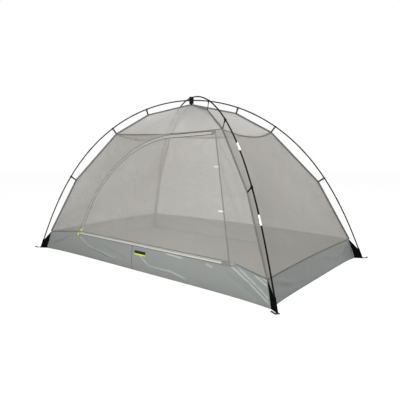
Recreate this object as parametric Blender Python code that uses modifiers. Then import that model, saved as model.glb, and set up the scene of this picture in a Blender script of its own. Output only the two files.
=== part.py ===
"""Free-standing mosquito net tent with two crossing arched poles.

Metres, +Z up. The origin is the middle of the tub floor's underside. +X runs along the
long side, and the door is in the long wall at -Y. Its hinge seam is near the right end.
"""

import math

import bmesh
import bpy
from mathutils import Matrix, Vector

# Tub floor
TUB_HALF_LENGTH = 1.053
TUB_HALF_WIDTH = 0.628
TUB_CORNER_LEAN = 0.044
TUB_CORNER_HEIGHT = 0.1414
TUB_SIDE_HEIGHT = 0.150
TUB_BACK_HEIGHT = 0.158
TUB_THICKNESS = 0.0012
TUB_FOLD_DEPTH = 0.006

# Net canopy. A ridge's bends are shares of the tub's diagonal reach and of the roof's height.
ROOF_HEIGHT = 1.1432
LOW_BEND_SHARES = (0.77110, 0.49589)
HIGH_BEND_SHARES = (0.48587, 0.81473)
ROOF_BEND_SHARES = (0.27487, 0.93737)
ROOF_SAG_FRONT = 0.018
ROOF_SAG_BACK = 0.027
ROOF_SAG_SIDE = 0.048
NET_THICKNESS = 0.0008
SEAM_GAP = 0.0003
MITRE_GAP = 0.0020
TUB_SEAM_GAP = 0.0010
ROOF_TRIM = 0.0020

# Poles
FOOT_OUTSET = 0.055
POLE_RADIUS = 0.0045
POLE_BORE_RADIUS = 0.0026
POLE_TIP_RADIUS = 0.0034
POLE_TIP_LENGTH = 0.008
POLE_TIP_WALL = 0.003
POLE_JOINT_GAP = 0.0004
POLE_CLEARANCE = 0.0003
POLE_BEND_SHARE = 0.83
FERRULE_RADIUS = 0.0053
FERRULE_LENGTH = 0.058
SECTIONS_PER_HALF = 4
SEGMENTS_PER_SECTION = 8
POLE_SIDES = 8
SHOCK_CORD_RADIUS = 0.00125
SHOCK_CORD_END_GAP = 0.0006

# Clip at the crossing
HUB_STRAP_HEIGHT = 0.0348
HUB_CROSSING_RISE = 0.020
HUB_TOP_RADIUS = 0.017
HUB_FOOT_RADIUS = 0.009
HUB_MOUTH = 0.0085
HUB_LIP = 0.0055
HUB_NECK_HEIGHT = 0.012

# Pole clips and the webbing straps that hold them
CLIP_WALL = 0.0024
CLIP_WIDTH = 0.012
CLIP_MOUTH_ANGLE = math.radians(80)
CLIP_FRAME_SIDE = 0.0022
CLIP_FRAME_THICKNESS = 0.0032
CLIP_NECK = 0.0016
CLIP_WINDOW = 0.0030
CLIP_BAR = 0.0028
STRAP_WIDTH = 0.0110
STRAP_PLY = 0.0010
STRAP_CLEARANCE = 0.0003
FIN_HEIGHT = 0.0090
FIN_THICKNESS = 0.0016
FIN_END_GAP = 0.0015
FIN_APEX_GAP = 0.0125

# Corner gussets with their pole pockets, and the peg hooks
POCKET_LENGTH = 0.075
POCKET_WALL = 0.0015
POCKET_FLOOR = 0.0012
GUSSET_THICKNESS = 0.0024
GUSSET_GAP = 0.0006
GUSSET_GROUND_GAP = 0.0006
EYE_OUTSET = 0.0112
EYE_HOLE_RADIUS = 0.0024
EYE_RADIUS = 0.0040
PEG_WIRE_RADIUS = 0.0012
PEG_RING_RADIUS = 0.0050
PEG_SHANK_LENGTH = 0.024
PEG_TIP_RADIUS = 0.0022
PEG_TIP_LENGTH = 0.011
PEG_TIP_RISE = 0.007

# Door in the front wall. Positions on the wall's plane are x and the height along the slope:
# x as a share of the tub's half length, the slope and the arch's radius as shares of the wall.
ZIP_SILL = 0.0413
ARCH_CENTRE_SHARES = (0.12156, 0.07691)
ARCH_RADIUS_SHARE = 0.88268
ARCH_TAIL_SHARE = 0.43257
ARCH_TAIL_RISE_SHARE = 0.0397
HINGE_SILL_SHARE = 0.72934
HINGE_TOP_SHARES = (0.43305, 0.99389)
HINGE_GAP = 0.0006
ZIP_RUN_OUT = 0.035
COIL_GAP = 0.0012
COIL_WIDTH = 0.0022
COIL_THICKNESS = 0.0024
TAPE_EDGE = 0.0105
TAPE_THICKNESS = 0.0005
CLOTH_EDGE = 0.0062
TAPE_END_GAP = 0.0008
NOTCH_RUN = 0.0040

# Zip sliders and pull tabs
SLIDER_LENGTH = 0.010
SLIDER_NOSE_WIDTH = 0.0066
SLIDER_PLATE = 0.0008
SLIDER_CLEARANCE = 0.0003
SLIDER_FLANGE = 0.0008
SLIDER_FLANGE_INSET = 0.0001
SLIDER_POST_LENGTH = 0.0030
BRIDGE_RADIUS = 0.0007
BRIDGE_SPAN = 0.0056
BRIDGE_HEADROOM = 0.0030
TAB_LENGTH = 0.024
TAB_WIDTH = 0.007
TAB_THICKNESS = 0.0016
TAB_SLOT_WIDTH = 0.0026
TAB_SLOT_LENGTH = 0.0058
ARCH_SLIDER_PARK = 0.036
SILL_SLIDER_PARK = 0.022

# Door tie-backs on the inner side of the hinge seam
TIE_SLOPE_SHARES = (0.7111, 0.3857)
TIE_LENGTH = 0.045
TIE_WIDTH = 0.011
TIE_THICKNESS = 0.0014
TIE_ROLL_RADIUS = 0.0014
TIE_TOGGLE_RADIUS = 0.0028
TIE_TOGGLE_LENGTH = 0.020
TIE_SEAM_OFFSET = 0.004

# Sewn label on the tub's front wall, left bare
LABEL_END_SHARE = 0.522
LABEL_LENGTH = 0.103
LABEL_HEIGHT = 0.028
LABEL_TOP_HEIGHT = 0.1385
LABEL_THICKNESS = 0.0008

CUT_OVERRUN = 0.002
WELD_GAP = 0.00002

CORNERS = {
    "front_left": (-1, -1),
    "front_right": (1, -1),
    "back_right": (1, 1),
    "back_left": (-1, 1),
}

# Columns of the tub's front wall: share of the way from the corner to the door zip at the
# top, the same at the bottom, and share of the fold depth. Folds fan out from the corners.
LEFT_FOLD_SHARES = (
    (0.30, 0.06, 0.0),
    (0.52, 0.10, -0.7),
    (0.66, 0.20, 0.0),
    (0.84, 0.70, 0.0),
)
RIGHT_FOLD_SHARES = (
    (0.90, 0.62, 0.0),
    (0.80, 0.46, 0.5),
    (0.66, 0.34, -0.5),
    (0.50, 0.22, 0.9),
    (0.40, 0.15, -0.4),
    (0.26, 0.10, 0.5),
    (0.14, 0.05, 0.0),
)
# The stretch under the zip: share of the way along at the top and at the bottom, and fold
SILL_FOLD_SHARES = (
    (0.03, 0.12, 0.0),
    (0.06, 0.24, 0.7),
    (0.10, 0.33, 0.0),
    (0.26, 0.38, 0.0),
    (0.44, 0.42, 0.0),
    (0.54, 0.60, 0.0),
    (0.59, 0.68, 0.6),
    (0.63, 0.73, 0.0),
    (0.80, 0.82, 0.0),
    (0.94, 0.90, 0.0),
)
FOLD_RING_SHARES = (0.33, 0.66)
WALL_COLUMNS = (("left", 8), ("right", 8), ("back", 10))
RIDGE_ROW_SHARES = (0.0, 0.06, 0.12, 0.25, 0.37, None, 0.62, 0.75, 0.88, 1.0)
HINGE_ROW_SHARES = (1.0, 0.82, 0.65, None, 0.33, 0.16, 0.06, 0.0)
WALL_ROW_SHARES = (0.0, 0.25, None, 0.75, 1.0)
ROOF_RING_SHARES = (0.2, 0.38, None, 0.72, 0.87)
SURROUND_CROSS_SHARES = (0.0, 0.34, 0.62, 0.84, 1.0)

TENT = bpy.data.collections.new("mosquito_net_tent")
CUTTERS = bpy.data.collections.new("mosquito_net_tent_cutters")


# Derived plan
CORNER_REACH = math.hypot(TUB_HALF_LENGTH, TUB_HALF_WIDTH)
DIAGONAL_X = TUB_HALF_LENGTH / CORNER_REACH
DIAGONAL_Y = TUB_HALF_WIDTH / CORNER_REACH
TUB_TOP_REACH = CORNER_REACH - TUB_CORNER_LEAN
FOOT_REACH = CORNER_REACH + FOOT_OUTSET
POCKET_RADIUS = POLE_RADIUS + POLE_CLEARANCE + POCKET_WALL
LOW_POLE_HEIGHT = ROOF_HEIGHT + HUB_STRAP_HEIGHT
HIGH_POLE_HEIGHT = LOW_POLE_HEIGHT + HUB_CROSSING_RISE
CLIP_RADIUS = POLE_RADIUS + POLE_CLEARANCE
CLIP_OUTER_RADIUS = CLIP_RADIUS + CLIP_WALL

RIDGE = [
    (TUB_TOP_REACH, TUB_CORNER_HEIGHT),
    *(
        (CORNER_REACH * reach_share, ROOF_HEIGHT * height_share)
        for reach_share, height_share in (LOW_BEND_SHARES, HIGH_BEND_SHARES, ROOF_BEND_SHARES)
    ),
    (0.0, ROOF_HEIGHT),
]


def clear_scene():
    for item in list(bpy.data.objects):
        bpy.data.objects.remove(item, do_unlink=True)


def material(name, colour, roughness, metallic=0.0):
    surface = bpy.data.materials.new(name)
    surface.use_nodes = True
    shader = surface.node_tree.nodes["Principled BSDF"]
    shader.inputs["Base Color"].default_value = (*colour, 1.0)
    shader.inputs["Roughness"].default_value = roughness
    shader.inputs["Metallic"].default_value = metallic
    return surface


def add_object(name, mesh, matrix=None, surface=None, collection=TENT):
    item = bpy.data.objects.new(name, mesh)
    if matrix is not None:
        item.matrix_world = matrix
    if surface is not None:
        mesh.materials.clear()
        mesh.materials.append(surface)
    collection.objects.link(item)
    return item


def mesh_from_bmesh(name, shape, smooth_angle=None):
    mesh = bpy.data.meshes.new(name)
    shape.to_mesh(mesh)
    shape.free()
    if smooth_angle is not None:
        mesh.shade_smooth()
        mesh.set_sharp_from_angle(angle=smooth_angle)
    return mesh


def mesh_from_curve(item):
    """The evaluated curve as a mesh with its caps welded on. The curve is removed."""
    bpy.context.view_layer.update()
    depsgraph = bpy.context.evaluated_depsgraph_get()
    mesh = bpy.data.meshes.new_from_object(item.evaluated_get(depsgraph))
    shape = bmesh.new()
    shape.from_mesh(mesh)
    bmesh.ops.remove_doubles(shape, verts=shape.verts, dist=1e-6)
    bmesh.ops.recalc_face_normals(shape, faces=shape.faces)
    shape.to_mesh(mesh)
    shape.free()
    bpy.data.objects.remove(item, do_unlink=True)
    return mesh


def outline_solid(name, outlines, thickness, matrix, surface=None):
    """A flat outline, with any further outlines as holes, extruded evenly about its plane."""
    curve = bpy.data.curves.new(name, "CURVE")
    curve.dimensions = "2D"
    curve.fill_mode = "BOTH"
    curve.extrude = thickness / 2
    for outline in outlines:
        spline = curve.splines.new("POLY")
        spline.points.add(len(outline) - 1)
        for point, place in zip(spline.points, outline):
            point.co = (place[0], place[1], 0.0, 1.0)
        spline.use_cyclic_u = True
    item = bpy.data.objects.new(name, curve)
    CUTTERS.objects.link(item)
    return add_object(name, mesh_from_curve(item), matrix, surface)


def wire_solid(name, points, radius, matrix=None, surface=None, resolution=1, cyclic=False):
    """A round wire through the points."""
    curve = bpy.data.curves.new(name, "CURVE")
    curve.dimensions = "3D"
    curve.bevel_depth = radius
    curve.bevel_resolution = resolution
    curve.render_resolution_u = 0
    curve.use_fill_caps = not cyclic
    spline = curve.splines.new("POLY")
    spline.points.add(len(points) - 1)
    for point, place in zip(spline.points, points):
        point.co = (*place, 1.0)
    spline.use_cyclic_u = cyclic
    item = bpy.data.objects.new(name, curve)
    CUTTERS.objects.link(item)
    return add_object(name, mesh_from_curve(item), matrix, surface)


def box_solid(name, size, matrix, surface=None):
    shape = bmesh.new()
    bmesh.ops.create_cube(shape, size=1.0)
    bmesh.ops.scale(shape, vec=size, verts=shape.verts)
    return add_object(name, mesh_from_bmesh(name, shape), matrix, surface)


def cone_solid(name, low_radius, high_radius, height, sides, matrix, surface=None):
    shape = bmesh.new()
    bmesh.ops.create_cone(
        shape, cap_ends=True, segments=sides, radius1=low_radius, radius2=high_radius, depth=height
    )
    return add_object(name, mesh_from_bmesh(name, shape), matrix, surface)


def close_seams(mesh):
    """Weld each open edge to the corner that lies on it, where a cut left them apart."""
    shape = bmesh.new()
    shape.from_mesh(mesh)
    for edge in [edge for edge in shape.edges if edge.is_boundary]:
        start, end = edge.verts
        run = end.co - start.co
        corners = {vert for other in shape.edges if other.is_boundary for vert in other.verts}
        for corner in corners - {start, end}:
            share = (corner.co - start.co).dot(run) / run.length_squared
            gap = (corner.co - start.co.lerp(end.co, share)).length
            if 0.0 < share < 1.0 and gap < WELD_GAP:
                _, added = bmesh.utils.edge_split(edge, start, share)
                bmesh.ops.weld_verts(shape, targetmap={added: corner})
                break
    shape.to_mesh(mesh)
    shape.free()


def combine(base, pieces, operation="UNION"):
    """Join the pieces to the base, or cut them from it, and keep the result as its mesh."""
    for piece in pieces:
        change = base.modifiers.new(operation.lower(), "BOOLEAN")
        change.operation = operation
        change.object = piece
        change.solver = "EXACT"
    bpy.context.view_layer.update()
    depsgraph = bpy.context.evaluated_depsgraph_get()
    mesh = bpy.data.meshes.new_from_object(base.evaluated_get(depsgraph))
    close_seams(mesh)
    base.modifiers.clear()
    base.data = mesh
    for piece in pieces:
        bpy.data.objects.remove(piece, do_unlink=True)
    return base


def frame_matrix(origin, x_axis, y_axis, z_axis):
    columns = Matrix((x_axis, y_axis, z_axis)).transposed().to_4x4()
    columns.translation = origin
    return columns


def lerp(start, end, share):
    return start + (end - start) * share


def polar(radius, angle, centre=(0.0, 0.0)):
    return (centre[0] + radius * math.cos(angle), centre[1] + radius * math.sin(angle))


def arc_points(radius, first, last, steps, centre=(0.0, 0.0)):
    return [polar(radius, lerp(first, last, i / steps), centre) for i in range(steps + 1)]


# The diagonal planes, with reach outwards and height upwards


def diagonal(corner):
    side_x, side_y = CORNERS[corner]
    return Vector((side_x * DIAGONAL_X, side_y * DIAGONAL_Y, 0.0))


def diagonal_matrix(corner, reach=0.0, height=0.0):
    """Local x points outwards along the diagonal, local y up, local z across it."""
    outwards = diagonal(corner)
    up = Vector((0.0, 0.0, 1.0))
    return frame_matrix(outwards * reach + up * height, outwards, up, outwards.cross(up))


def ridge_point(corner, share, first=0, last=2):
    """A point of the ridge between two of its bends, by share of the length between them.

    A share of None is the bend in the middle.
    """
    reach, height = ridge_place(share, first, last)
    return diagonal(corner) * reach + Vector((0.0, 0.0, height))


def ridge_place(share, first=0, last=2):
    start, middle, end = (Vector(RIDGE[i]) for i in (first, (first + last) // 2, last))
    if share is None:
        return middle
    first_length = (middle - start).length
    travel = share * (first_length + (end - middle).length)
    if travel <= first_length:
        return start.lerp(middle, travel / first_length)
    return middle.lerp(end, (travel - first_length) / (end - middle).length)


# Poles


def half_pole(run, rise, shares):
    """Places (reach, drop) along half a sprung pole, by share of its length from the apex.

    The pole bends most at the apex and straightens towards the foot.
    """
    steps = 960

    def trace(end_angle):
        places = [(0.0, 0.0)]
        for i in range(steps):
            share = (i + 0.5) / steps
            sprung = POLE_BEND_SHARE * math.sin(math.pi / 2 * share)
            angle = end_angle * ((1 - POLE_BEND_SHARE) * share + sprung)
            reach, drop = places[-1]
            places.append((reach + math.cos(angle) / steps, drop + math.sin(angle) / steps))
        return places

    low, high = 0.1, 2.6
    for _ in range(40):
        angle = (low + high) / 2
        reach, drop = trace(angle)[-1]
        if reach <= 0 or drop / reach > rise / run:
            high = angle
        else:
            low = angle
    places = trace(angle)
    length = run / places[-1][0]
    result = []
    for share in shares:
        index = min(int(share * steps), steps - 1)
        part = share * steps - index
        result.append(
            [length * lerp(places[index][k], places[index + 1][k], part) for k in range(2)]
        )
    return result, angle


class PolePath:
    """A pole's centre line from one corner's foot over the apex to the opposite foot."""

    def __init__(self, start_corner, end_corner, apex_height):
        self.across = diagonal(start_corner).cross(Vector((0.0, 0.0, 1.0)))
        count = SECTIONS_PER_HALF * SEGMENTS_PER_SECTION
        shares = [(k + 0.5) / count for k in range(count)] + [1.0]
        foot_height = 0.0
        for _ in range(4):
            places, foot_angle = half_pole(FOOT_REACH, apex_height - foot_height, shares)
            stand_off = (POCKET_FLOOR + POLE_CLEARANCE) * math.sin(foot_angle)
            foot_height = stand_off + POCKET_RADIUS * math.cos(foot_angle) + SEAM_GAP
        halves = []
        for corner in (start_corner, end_corner):
            outwards = diagonal(corner)
            halves.append(
                [outwards * reach + Vector((0, 0, apex_height - drop)) for reach, drop in places]
            )
        self.points = halves[0][::-1] + halves[1]
        self.arc = [0.0]
        for first, second in zip(self.points, self.points[1:]):
            self.arc.append(self.arc[-1] + (second - first).length)
        self.length = self.arc[-1]

    def segment(self, arc):
        for index in range(len(self.arc) - 1):
            if arc < self.arc[index + 1]:
                return index
        return len(self.arc) - 2

    def point(self, arc):
        index = self.segment(arc)
        share = (arc - self.arc[index]) / (self.arc[index + 1] - self.arc[index])
        return self.points[index].lerp(self.points[index + 1], share)

    def tangent(self, arc):
        index = self.segment(arc)
        ahead = (self.points[index + 1] - self.points[index]).normalized()
        at_vertex = 0 < index and arc - self.arc[index] < POLE_JOINT_GAP / 8
        if not at_vertex:
            return ahead
        behind = (self.points[index] - self.points[index - 1]).normalized()
        return (ahead + behind).normalized()

    def bends(self, start, end):
        return [arc for arc in self.arc if start < arc < end]

    def nearest(self, place):
        """Arc length of the point nearest a place."""
        best = None
        for index in range(len(self.points) - 1):
            start, end = self.points[index], self.points[index + 1]
            run = end - start
            share = max(0.0, min(1.0, (place - start).dot(run) / run.length_squared))
            gap = (place - start.lerp(end, share)).length
            if best is None or gap < best[0]:
                best = (gap, self.arc[index] + share * run.length)
        return best[1]


def sleeve_mesh(name, path, rings, closed, sides=POLE_SIDES):
    """A round sleeve along a path from rings of (arc length, radius)."""
    shape = bmesh.new()
    loops = []
    for arc, radius in rings:
        centre = path.point(arc)
        up = path.tangent(arc).cross(path.across)
        loop = []
        for k in range(sides):
            angle = 2 * math.pi * k / sides
            offset = path.across * math.cos(angle) + up * math.sin(angle)
            loop.append(shape.verts.new(centre + offset * radius))
        loops.append(loop)
    pairs = list(zip(loops, loops[1:]))
    if closed:
        pairs.append((loops[-1], loops[0]))
    for first, second in pairs:
        for k in range(sides):
            after = (k + 1) % sides
            shape.faces.new((first[k], first[after], second[after], second[k]))
    if not closed:
        shape.faces.new(loops[0])
        shape.faces.new(loops[-1])
    bmesh.ops.recalc_face_normals(shape, faces=shape.faces)
    return mesh_from_bmesh(name, shape, math.radians(50))


def pole_section(name, path, start, end, role, surface):
    """One pole section. All but the last carry the ferrule that the next one plugs into."""
    last_bore = end - POLE_JOINT_GAP / 2
    first_bore = start + POLE_JOINT_GAP / 2
    outer, inner = [], []
    if role == "first":
        first_bore = start + POLE_TIP_LENGTH + POLE_TIP_WALL
        shoulder = start + POLE_TIP_LENGTH
        outer += [(start, POLE_TIP_RADIUS), (shoulder, POLE_TIP_RADIUS), (shoulder, POLE_RADIUS)]
    else:
        outer.append((first_bore, POLE_RADIUS))
    if role == "last":
        last_bore = end - POLE_TIP_LENGTH - POLE_TIP_WALL
        shoulder = end - POLE_TIP_LENGTH
        outer += [(arc, POLE_RADIUS) for arc in path.bends(outer[-1][0], shoulder)]
        outer += [(shoulder, POLE_RADIUS), (shoulder, POLE_TIP_RADIUS), (end, POLE_TIP_RADIUS)]
    else:
        ferrule_start = end - FERRULE_LENGTH / 2
        ferrule_end = end + FERRULE_LENGTH / 2
        outer += [(arc, POLE_RADIUS) for arc in path.bends(outer[-1][0], ferrule_start)]
        outer += [(ferrule_start, POLE_RADIUS), (ferrule_start, FERRULE_RADIUS)]
        outer.append((ferrule_end, FERRULE_RADIUS))
        socket_radius = POLE_RADIUS + POLE_CLEARANCE
        inner += [(ferrule_end, socket_radius), (last_bore, socket_radius)]
    inner.append((last_bore, POLE_BORE_RADIUS))
    inner += [(arc, POLE_BORE_RADIUS) for arc in reversed(path.bends(first_bore, last_bore))]
    inner.append((first_bore, POLE_BORE_RADIUS))
    if role == "middle":
        rings, closed = outer + inner, True
    elif role == "first":
        rings, closed = outer + inner, False
    else:
        rings, closed = inner + outer, False
    return add_object(name, sleeve_mesh(name, path, rings, closed), None, surface)


def build_pole(label, path, surface, cord_surface):
    count = 2 * SECTIONS_PER_HALF
    for k in range(count):
        role = "first" if k == 0 else "last" if k == count - 1 else "middle"
        start = path.length * k / count
        end = path.length * (k + 1) / count
        pole_section(f"pole_{label}_section_{k + 1}", path, start, end, role, surface)
    inset = POLE_TIP_LENGTH + POLE_TIP_WALL + SHOCK_CORD_END_GAP
    arcs = [inset] + path.bends(inset, path.length - inset) + [path.length - inset]
    points = [path.point(arc) for arc in arcs]
    name = f"shock_cord_{label}"
    wire_solid(name, points, SHOCK_CORD_RADIUS, surface=cord_surface, resolution=0)


# Clip at the crossing of the poles


def crossing_hub(low_path, high_path, surface):
    """A moulded post on the roof's apex with a side channel and a top channel."""
    foot = ROOF_HEIGHT + SEAM_GAP
    neck = foot + HUB_NECK_HEIGHT
    top = HIGH_POLE_HEIGHT + HUB_LIP
    middle = Vector((0.0, 0.0, (neck + top) / 2))
    hub = cone_solid(
        "crossing_clip", HUB_TOP_RADIUS, HUB_TOP_RADIUS, top - neck, 20,
        Matrix.Translation(middle), surface,
    )
    stem = cone_solid(
        "stem", HUB_FOOT_RADIUS, HUB_TOP_RADIUS - CUT_OVERRUN, HUB_NECK_HEIGHT + CUT_OVERRUN, 20,
        Matrix.Translation(Vector((0.0, 0.0, (foot + neck + CUT_OVERRUN) / 2))),
    )
    hub = combine(hub, [stem])
    channel_radius = FERRULE_RADIUS + POLE_CLEARANCE
    cutters = []
    for path, side_mouth in ((low_path, True), (high_path, False)):
        centre = path.point(path.length / 2)
        along = path.tangent(path.length / 2)
        across = path.across
        up = Vector((0.0, 0.0, 1.0))
        bore = frame_matrix(centre, across, up, across.cross(up))
        length = 2 * (HUB_TOP_RADIUS + CUT_OVERRUN)
        cutters.append(cone_solid("bore", channel_radius, channel_radius, length, 20, bore))
        if side_mouth:
            reach = HUB_TOP_RADIUS + CUT_OVERRUN
            size = (length, reach, HUB_MOUTH)
            mouth = frame_matrix(centre + across * reach / 2, along, across, along.cross(across))
        else:
            rise = HUB_LIP + CUT_OVERRUN
            size = (length, HUB_MOUTH, rise)
            place = centre + up * rise / 2
            mouth = frame_matrix(place, along, across, along.cross(across))
        cutters.append(box_solid("mouth", size, mouth))
    hub = combine(hub, cutters, "DIFFERENCE")
    hub.data.shade_smooth()
    hub.data.set_sharp_from_angle(angle=math.radians(40))
    return hub


# Pole clips, ridge bindings and straps


def clip_frame(path, bend, corner):
    """Origin on the pole's axis nearest a ridge bend, x along it, y away from the ridge."""
    reach, height = RIDGE[bend]
    place = diagonal(corner) * reach + Vector((0.0, 0.0, height))
    arc = path.nearest(place)
    centre = path.point(arc)
    along = path.tangent(arc)
    away = (centre - place) - along * (centre - place).dot(along)
    strap_length = away.length
    away.normalize()
    return frame_matrix(centre, along, away, along.cross(away)), strap_length


def pole_clip(name, frame, surface):
    """A snap-on C round the pole with a framed bar for the webbing strap."""
    ring_frame = frame @ Matrix(((0, 0, 1, 0), (1, 0, 0, 0), (0, 1, 0, 0), (0, 0, 0, 1)))
    first = CLIP_MOUTH_ANGLE / 2
    last = 2 * math.pi - CLIP_MOUTH_ANGLE / 2
    outline = arc_points(CLIP_OUTER_RADIUS, first, last, 13)
    outline += arc_points(CLIP_RADIUS, last, first, 13)
    clip = outline_solid(name, [outline], CLIP_WIDTH, ring_frame, surface)
    frame_top = -(CLIP_RADIUS + CLIP_WALL / 2)
    window_top = -(CLIP_OUTER_RADIUS + CLIP_NECK)
    window_bottom = window_top - CLIP_WINDOW
    frame_bottom = window_bottom - CLIP_BAR
    window_half = STRAP_WIDTH / 2 + STRAP_CLEARANCE
    frame_half = window_half + CLIP_FRAME_SIDE
    corner = CLIP_FRAME_SIDE
    plate_outline = [
        (-CLIP_WIDTH / 2 + corner / 2, frame_top),
        (-frame_half, window_top + corner / 2),
        (-frame_half, frame_bottom + corner / 2),
        (-frame_half + corner / 2, frame_bottom),
        (frame_half - corner / 2, frame_bottom),
        (frame_half, frame_bottom + corner / 2),
        (frame_half, window_top + corner / 2),
        (CLIP_WIDTH / 2 - corner / 2, frame_top),
    ]
    window = [
        (-window_half, window_top),
        (-window_half, window_bottom),
        (window_half, window_bottom),
        (window_half, window_top),
    ]
    plate = outline_solid("plate", [plate_outline, window], CLIP_FRAME_THICKNESS, frame)
    clip = combine(clip, [plate])
    clip.data.shade_smooth()
    clip.data.set_sharp_from_angle(angle=math.radians(40))
    return clip


def strap_solid(frame, strap_length):
    """Doubled webbing from the ridge fin, looped round the clip's bar."""
    strap_frame = frame @ Matrix(((0, 0, 1, 0), (1, 0, 0, 0), (0, 1, 0, 0), (0, 0, 0, 1)))
    bar_middle = -(CLIP_OUTER_RADIUS + CLIP_NECK + CLIP_WINDOW + CLIP_BAR / 2)
    hole_length = CLIP_BAR / 2 + STRAP_CLEARANCE
    hole_width = CLIP_FRAME_THICKNESS / 2 + STRAP_CLEARANCE
    outer_length = hole_length + STRAP_PLY
    outer_width = hole_width + STRAP_PLY
    throat = bar_middle - hole_length - outer_width
    tail = -(strap_length - FIN_HEIGHT / 2)
    outline = [
        (tail, -STRAP_PLY),
        (throat - STRAP_PLY, -STRAP_PLY),
        (bar_middle - hole_length, -outer_width),
        (bar_middle + outer_length / 2, -outer_width),
        (bar_middle + outer_length, -outer_width / 2),
        (bar_middle + outer_length, outer_width / 2),
        (bar_middle + outer_length / 2, outer_width),
        (bar_middle - hole_length, outer_width),
        (throat - STRAP_PLY, STRAP_PLY),
        (tail, STRAP_PLY),
    ]
    hole = [
        (throat, 0.0),
        (bar_middle - hole_length, -hole_width),
        (bar_middle + hole_length, -hole_width),
        (bar_middle + hole_length, hole_width),
        (bar_middle - hole_length, hole_width),
    ]
    return outline_solid("strap", [outline, hole], STRAP_WIDTH, strap_frame)


def offset_line(places, distance):
    """The places moved sideways, to the left of the line's run, with mitred bends."""
    result = []
    for index, place in enumerate(places):
        here = Vector(place)
        before = (here - Vector(places[index - 1])).normalized() if index else None
        last = index == len(places) - 1
        after = (Vector(places[index + 1]) - here).normalized() if not last else None
        first_side = before if before is not None else after
        second_side = after if after is not None else before
        middle = (first_side + second_side).normalized()
        side = Vector((-middle.y, middle.x))
        mitre = 1.0 / max(0.3, middle.dot(second_side))
        result.append(tuple(here + side * distance * mitre))
    return result


def ridge_binding(corner, frames, surface):
    """The bound seam along one ridge, standing out as a fin, with its three straps."""
    places = [Vector(place) for place in RIDGE]
    places[0] = places[0] + (places[1] - places[0]).normalized() * FIN_END_GAP
    places[-1] = places[-1] + (places[-2] - places[-1]).normalized() * FIN_APEX_GAP
    places = [tuple(place) for place in reversed(places)]
    inner = offset_line(places, SEAM_GAP)
    outer = offset_line(places, SEAM_GAP + FIN_HEIGHT)
    outline = inner + outer[::-1]
    name = f"ridge_binding_{corner}"
    fin = outline_solid(name, [outline], FIN_THICKNESS, diagonal_matrix(corner), surface)
    return combine(fin, [strap_solid(frame, length) for frame, length in frames])


# Corner gussets and peg hooks


def corner_gusset(corner, path, from_start, surface):
    """The black corner panel with the pocket that holds the pole's foot."""
    foot = path.points[0] if from_start else path.points[-1]
    foot_place = Vector((math.hypot(foot.x, foot.y), foot.z))
    entry_arc = POCKET_LENGTH if from_start else path.length - POCKET_LENGTH
    entry = path.point(entry_arc)
    entry_place = Vector((math.hypot(entry.x, entry.y), entry.z))
    top = Vector(RIDGE[0]) + Vector((GUSSET_GAP, -FIN_END_GAP))
    ground = GUSSET_GROUND_GAP
    bottom_reach = CORNER_REACH + GUSSET_GAP
    eye = Vector((foot_place.x + EYE_OUTSET, EYE_RADIUS + ground))
    direction = 1 if from_start else -1
    foot_arc = 0.0 if from_start else path.length
    upwards = path.tangent(foot_arc) * direction
    inner_side = Vector((-upwards.z, upwards.dot(diagonal(corner))))
    web_start = entry_place + inner_side * (POLE_RADIUS + POLE_CLEARANCE + POCKET_WALL / 2)
    web_start -= Vector((upwards.dot(diagonal(corner)), upwards.z)) * POCKET_WALL
    eye_arc = arc_points(EYE_RADIUS, -math.pi / 2, math.pi * 0.62, 7, eye)
    outline = [
        tuple(top),
        (bottom_reach + TUB_CORNER_LEAN * ground / TUB_CORNER_HEIGHT, ground),
        *eye_arc,
        (foot_place.x, foot_place.y + EYE_RADIUS),
        tuple(web_start),
    ]
    hole = arc_points(EYE_HOLE_RADIUS, 0.0, -2 * math.pi * 9 / 10, 9, eye)
    name = f"corner_gusset_{corner}"
    matrix = diagonal_matrix(corner)
    gusset = outline_solid(name, [outline, hole], GUSSET_THICKNESS, matrix, surface)

    def pocket(name, radius, low, high):
        points = [foot + upwards * low]
        for arc in path.arc[1:-1] if from_start else path.arc[-2:0:-1]:
            if abs(arc - foot_arc) < POCKET_LENGTH:
                points.append(path.point(arc))
        points.append(path.point(foot_arc + direction * (POCKET_LENGTH + high)))
        return wire_solid(name, points, radius, resolution=2)

    sleeve = pocket("sleeve", POCKET_RADIUS, -(POCKET_FLOOR + POLE_CLEARANCE), 0.0)
    gusset = combine(gusset, [sleeve])
    bore = pocket("bore", POLE_RADIUS + POLE_CLEARANCE, -POLE_CLEARANCE, CUT_OVERRUN)
    gusset = combine(gusset, [bore], "DIFFERENCE")
    return gusset, diagonal(corner) * eye.x + Vector((0.0, 0.0, eye.y))


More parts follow.
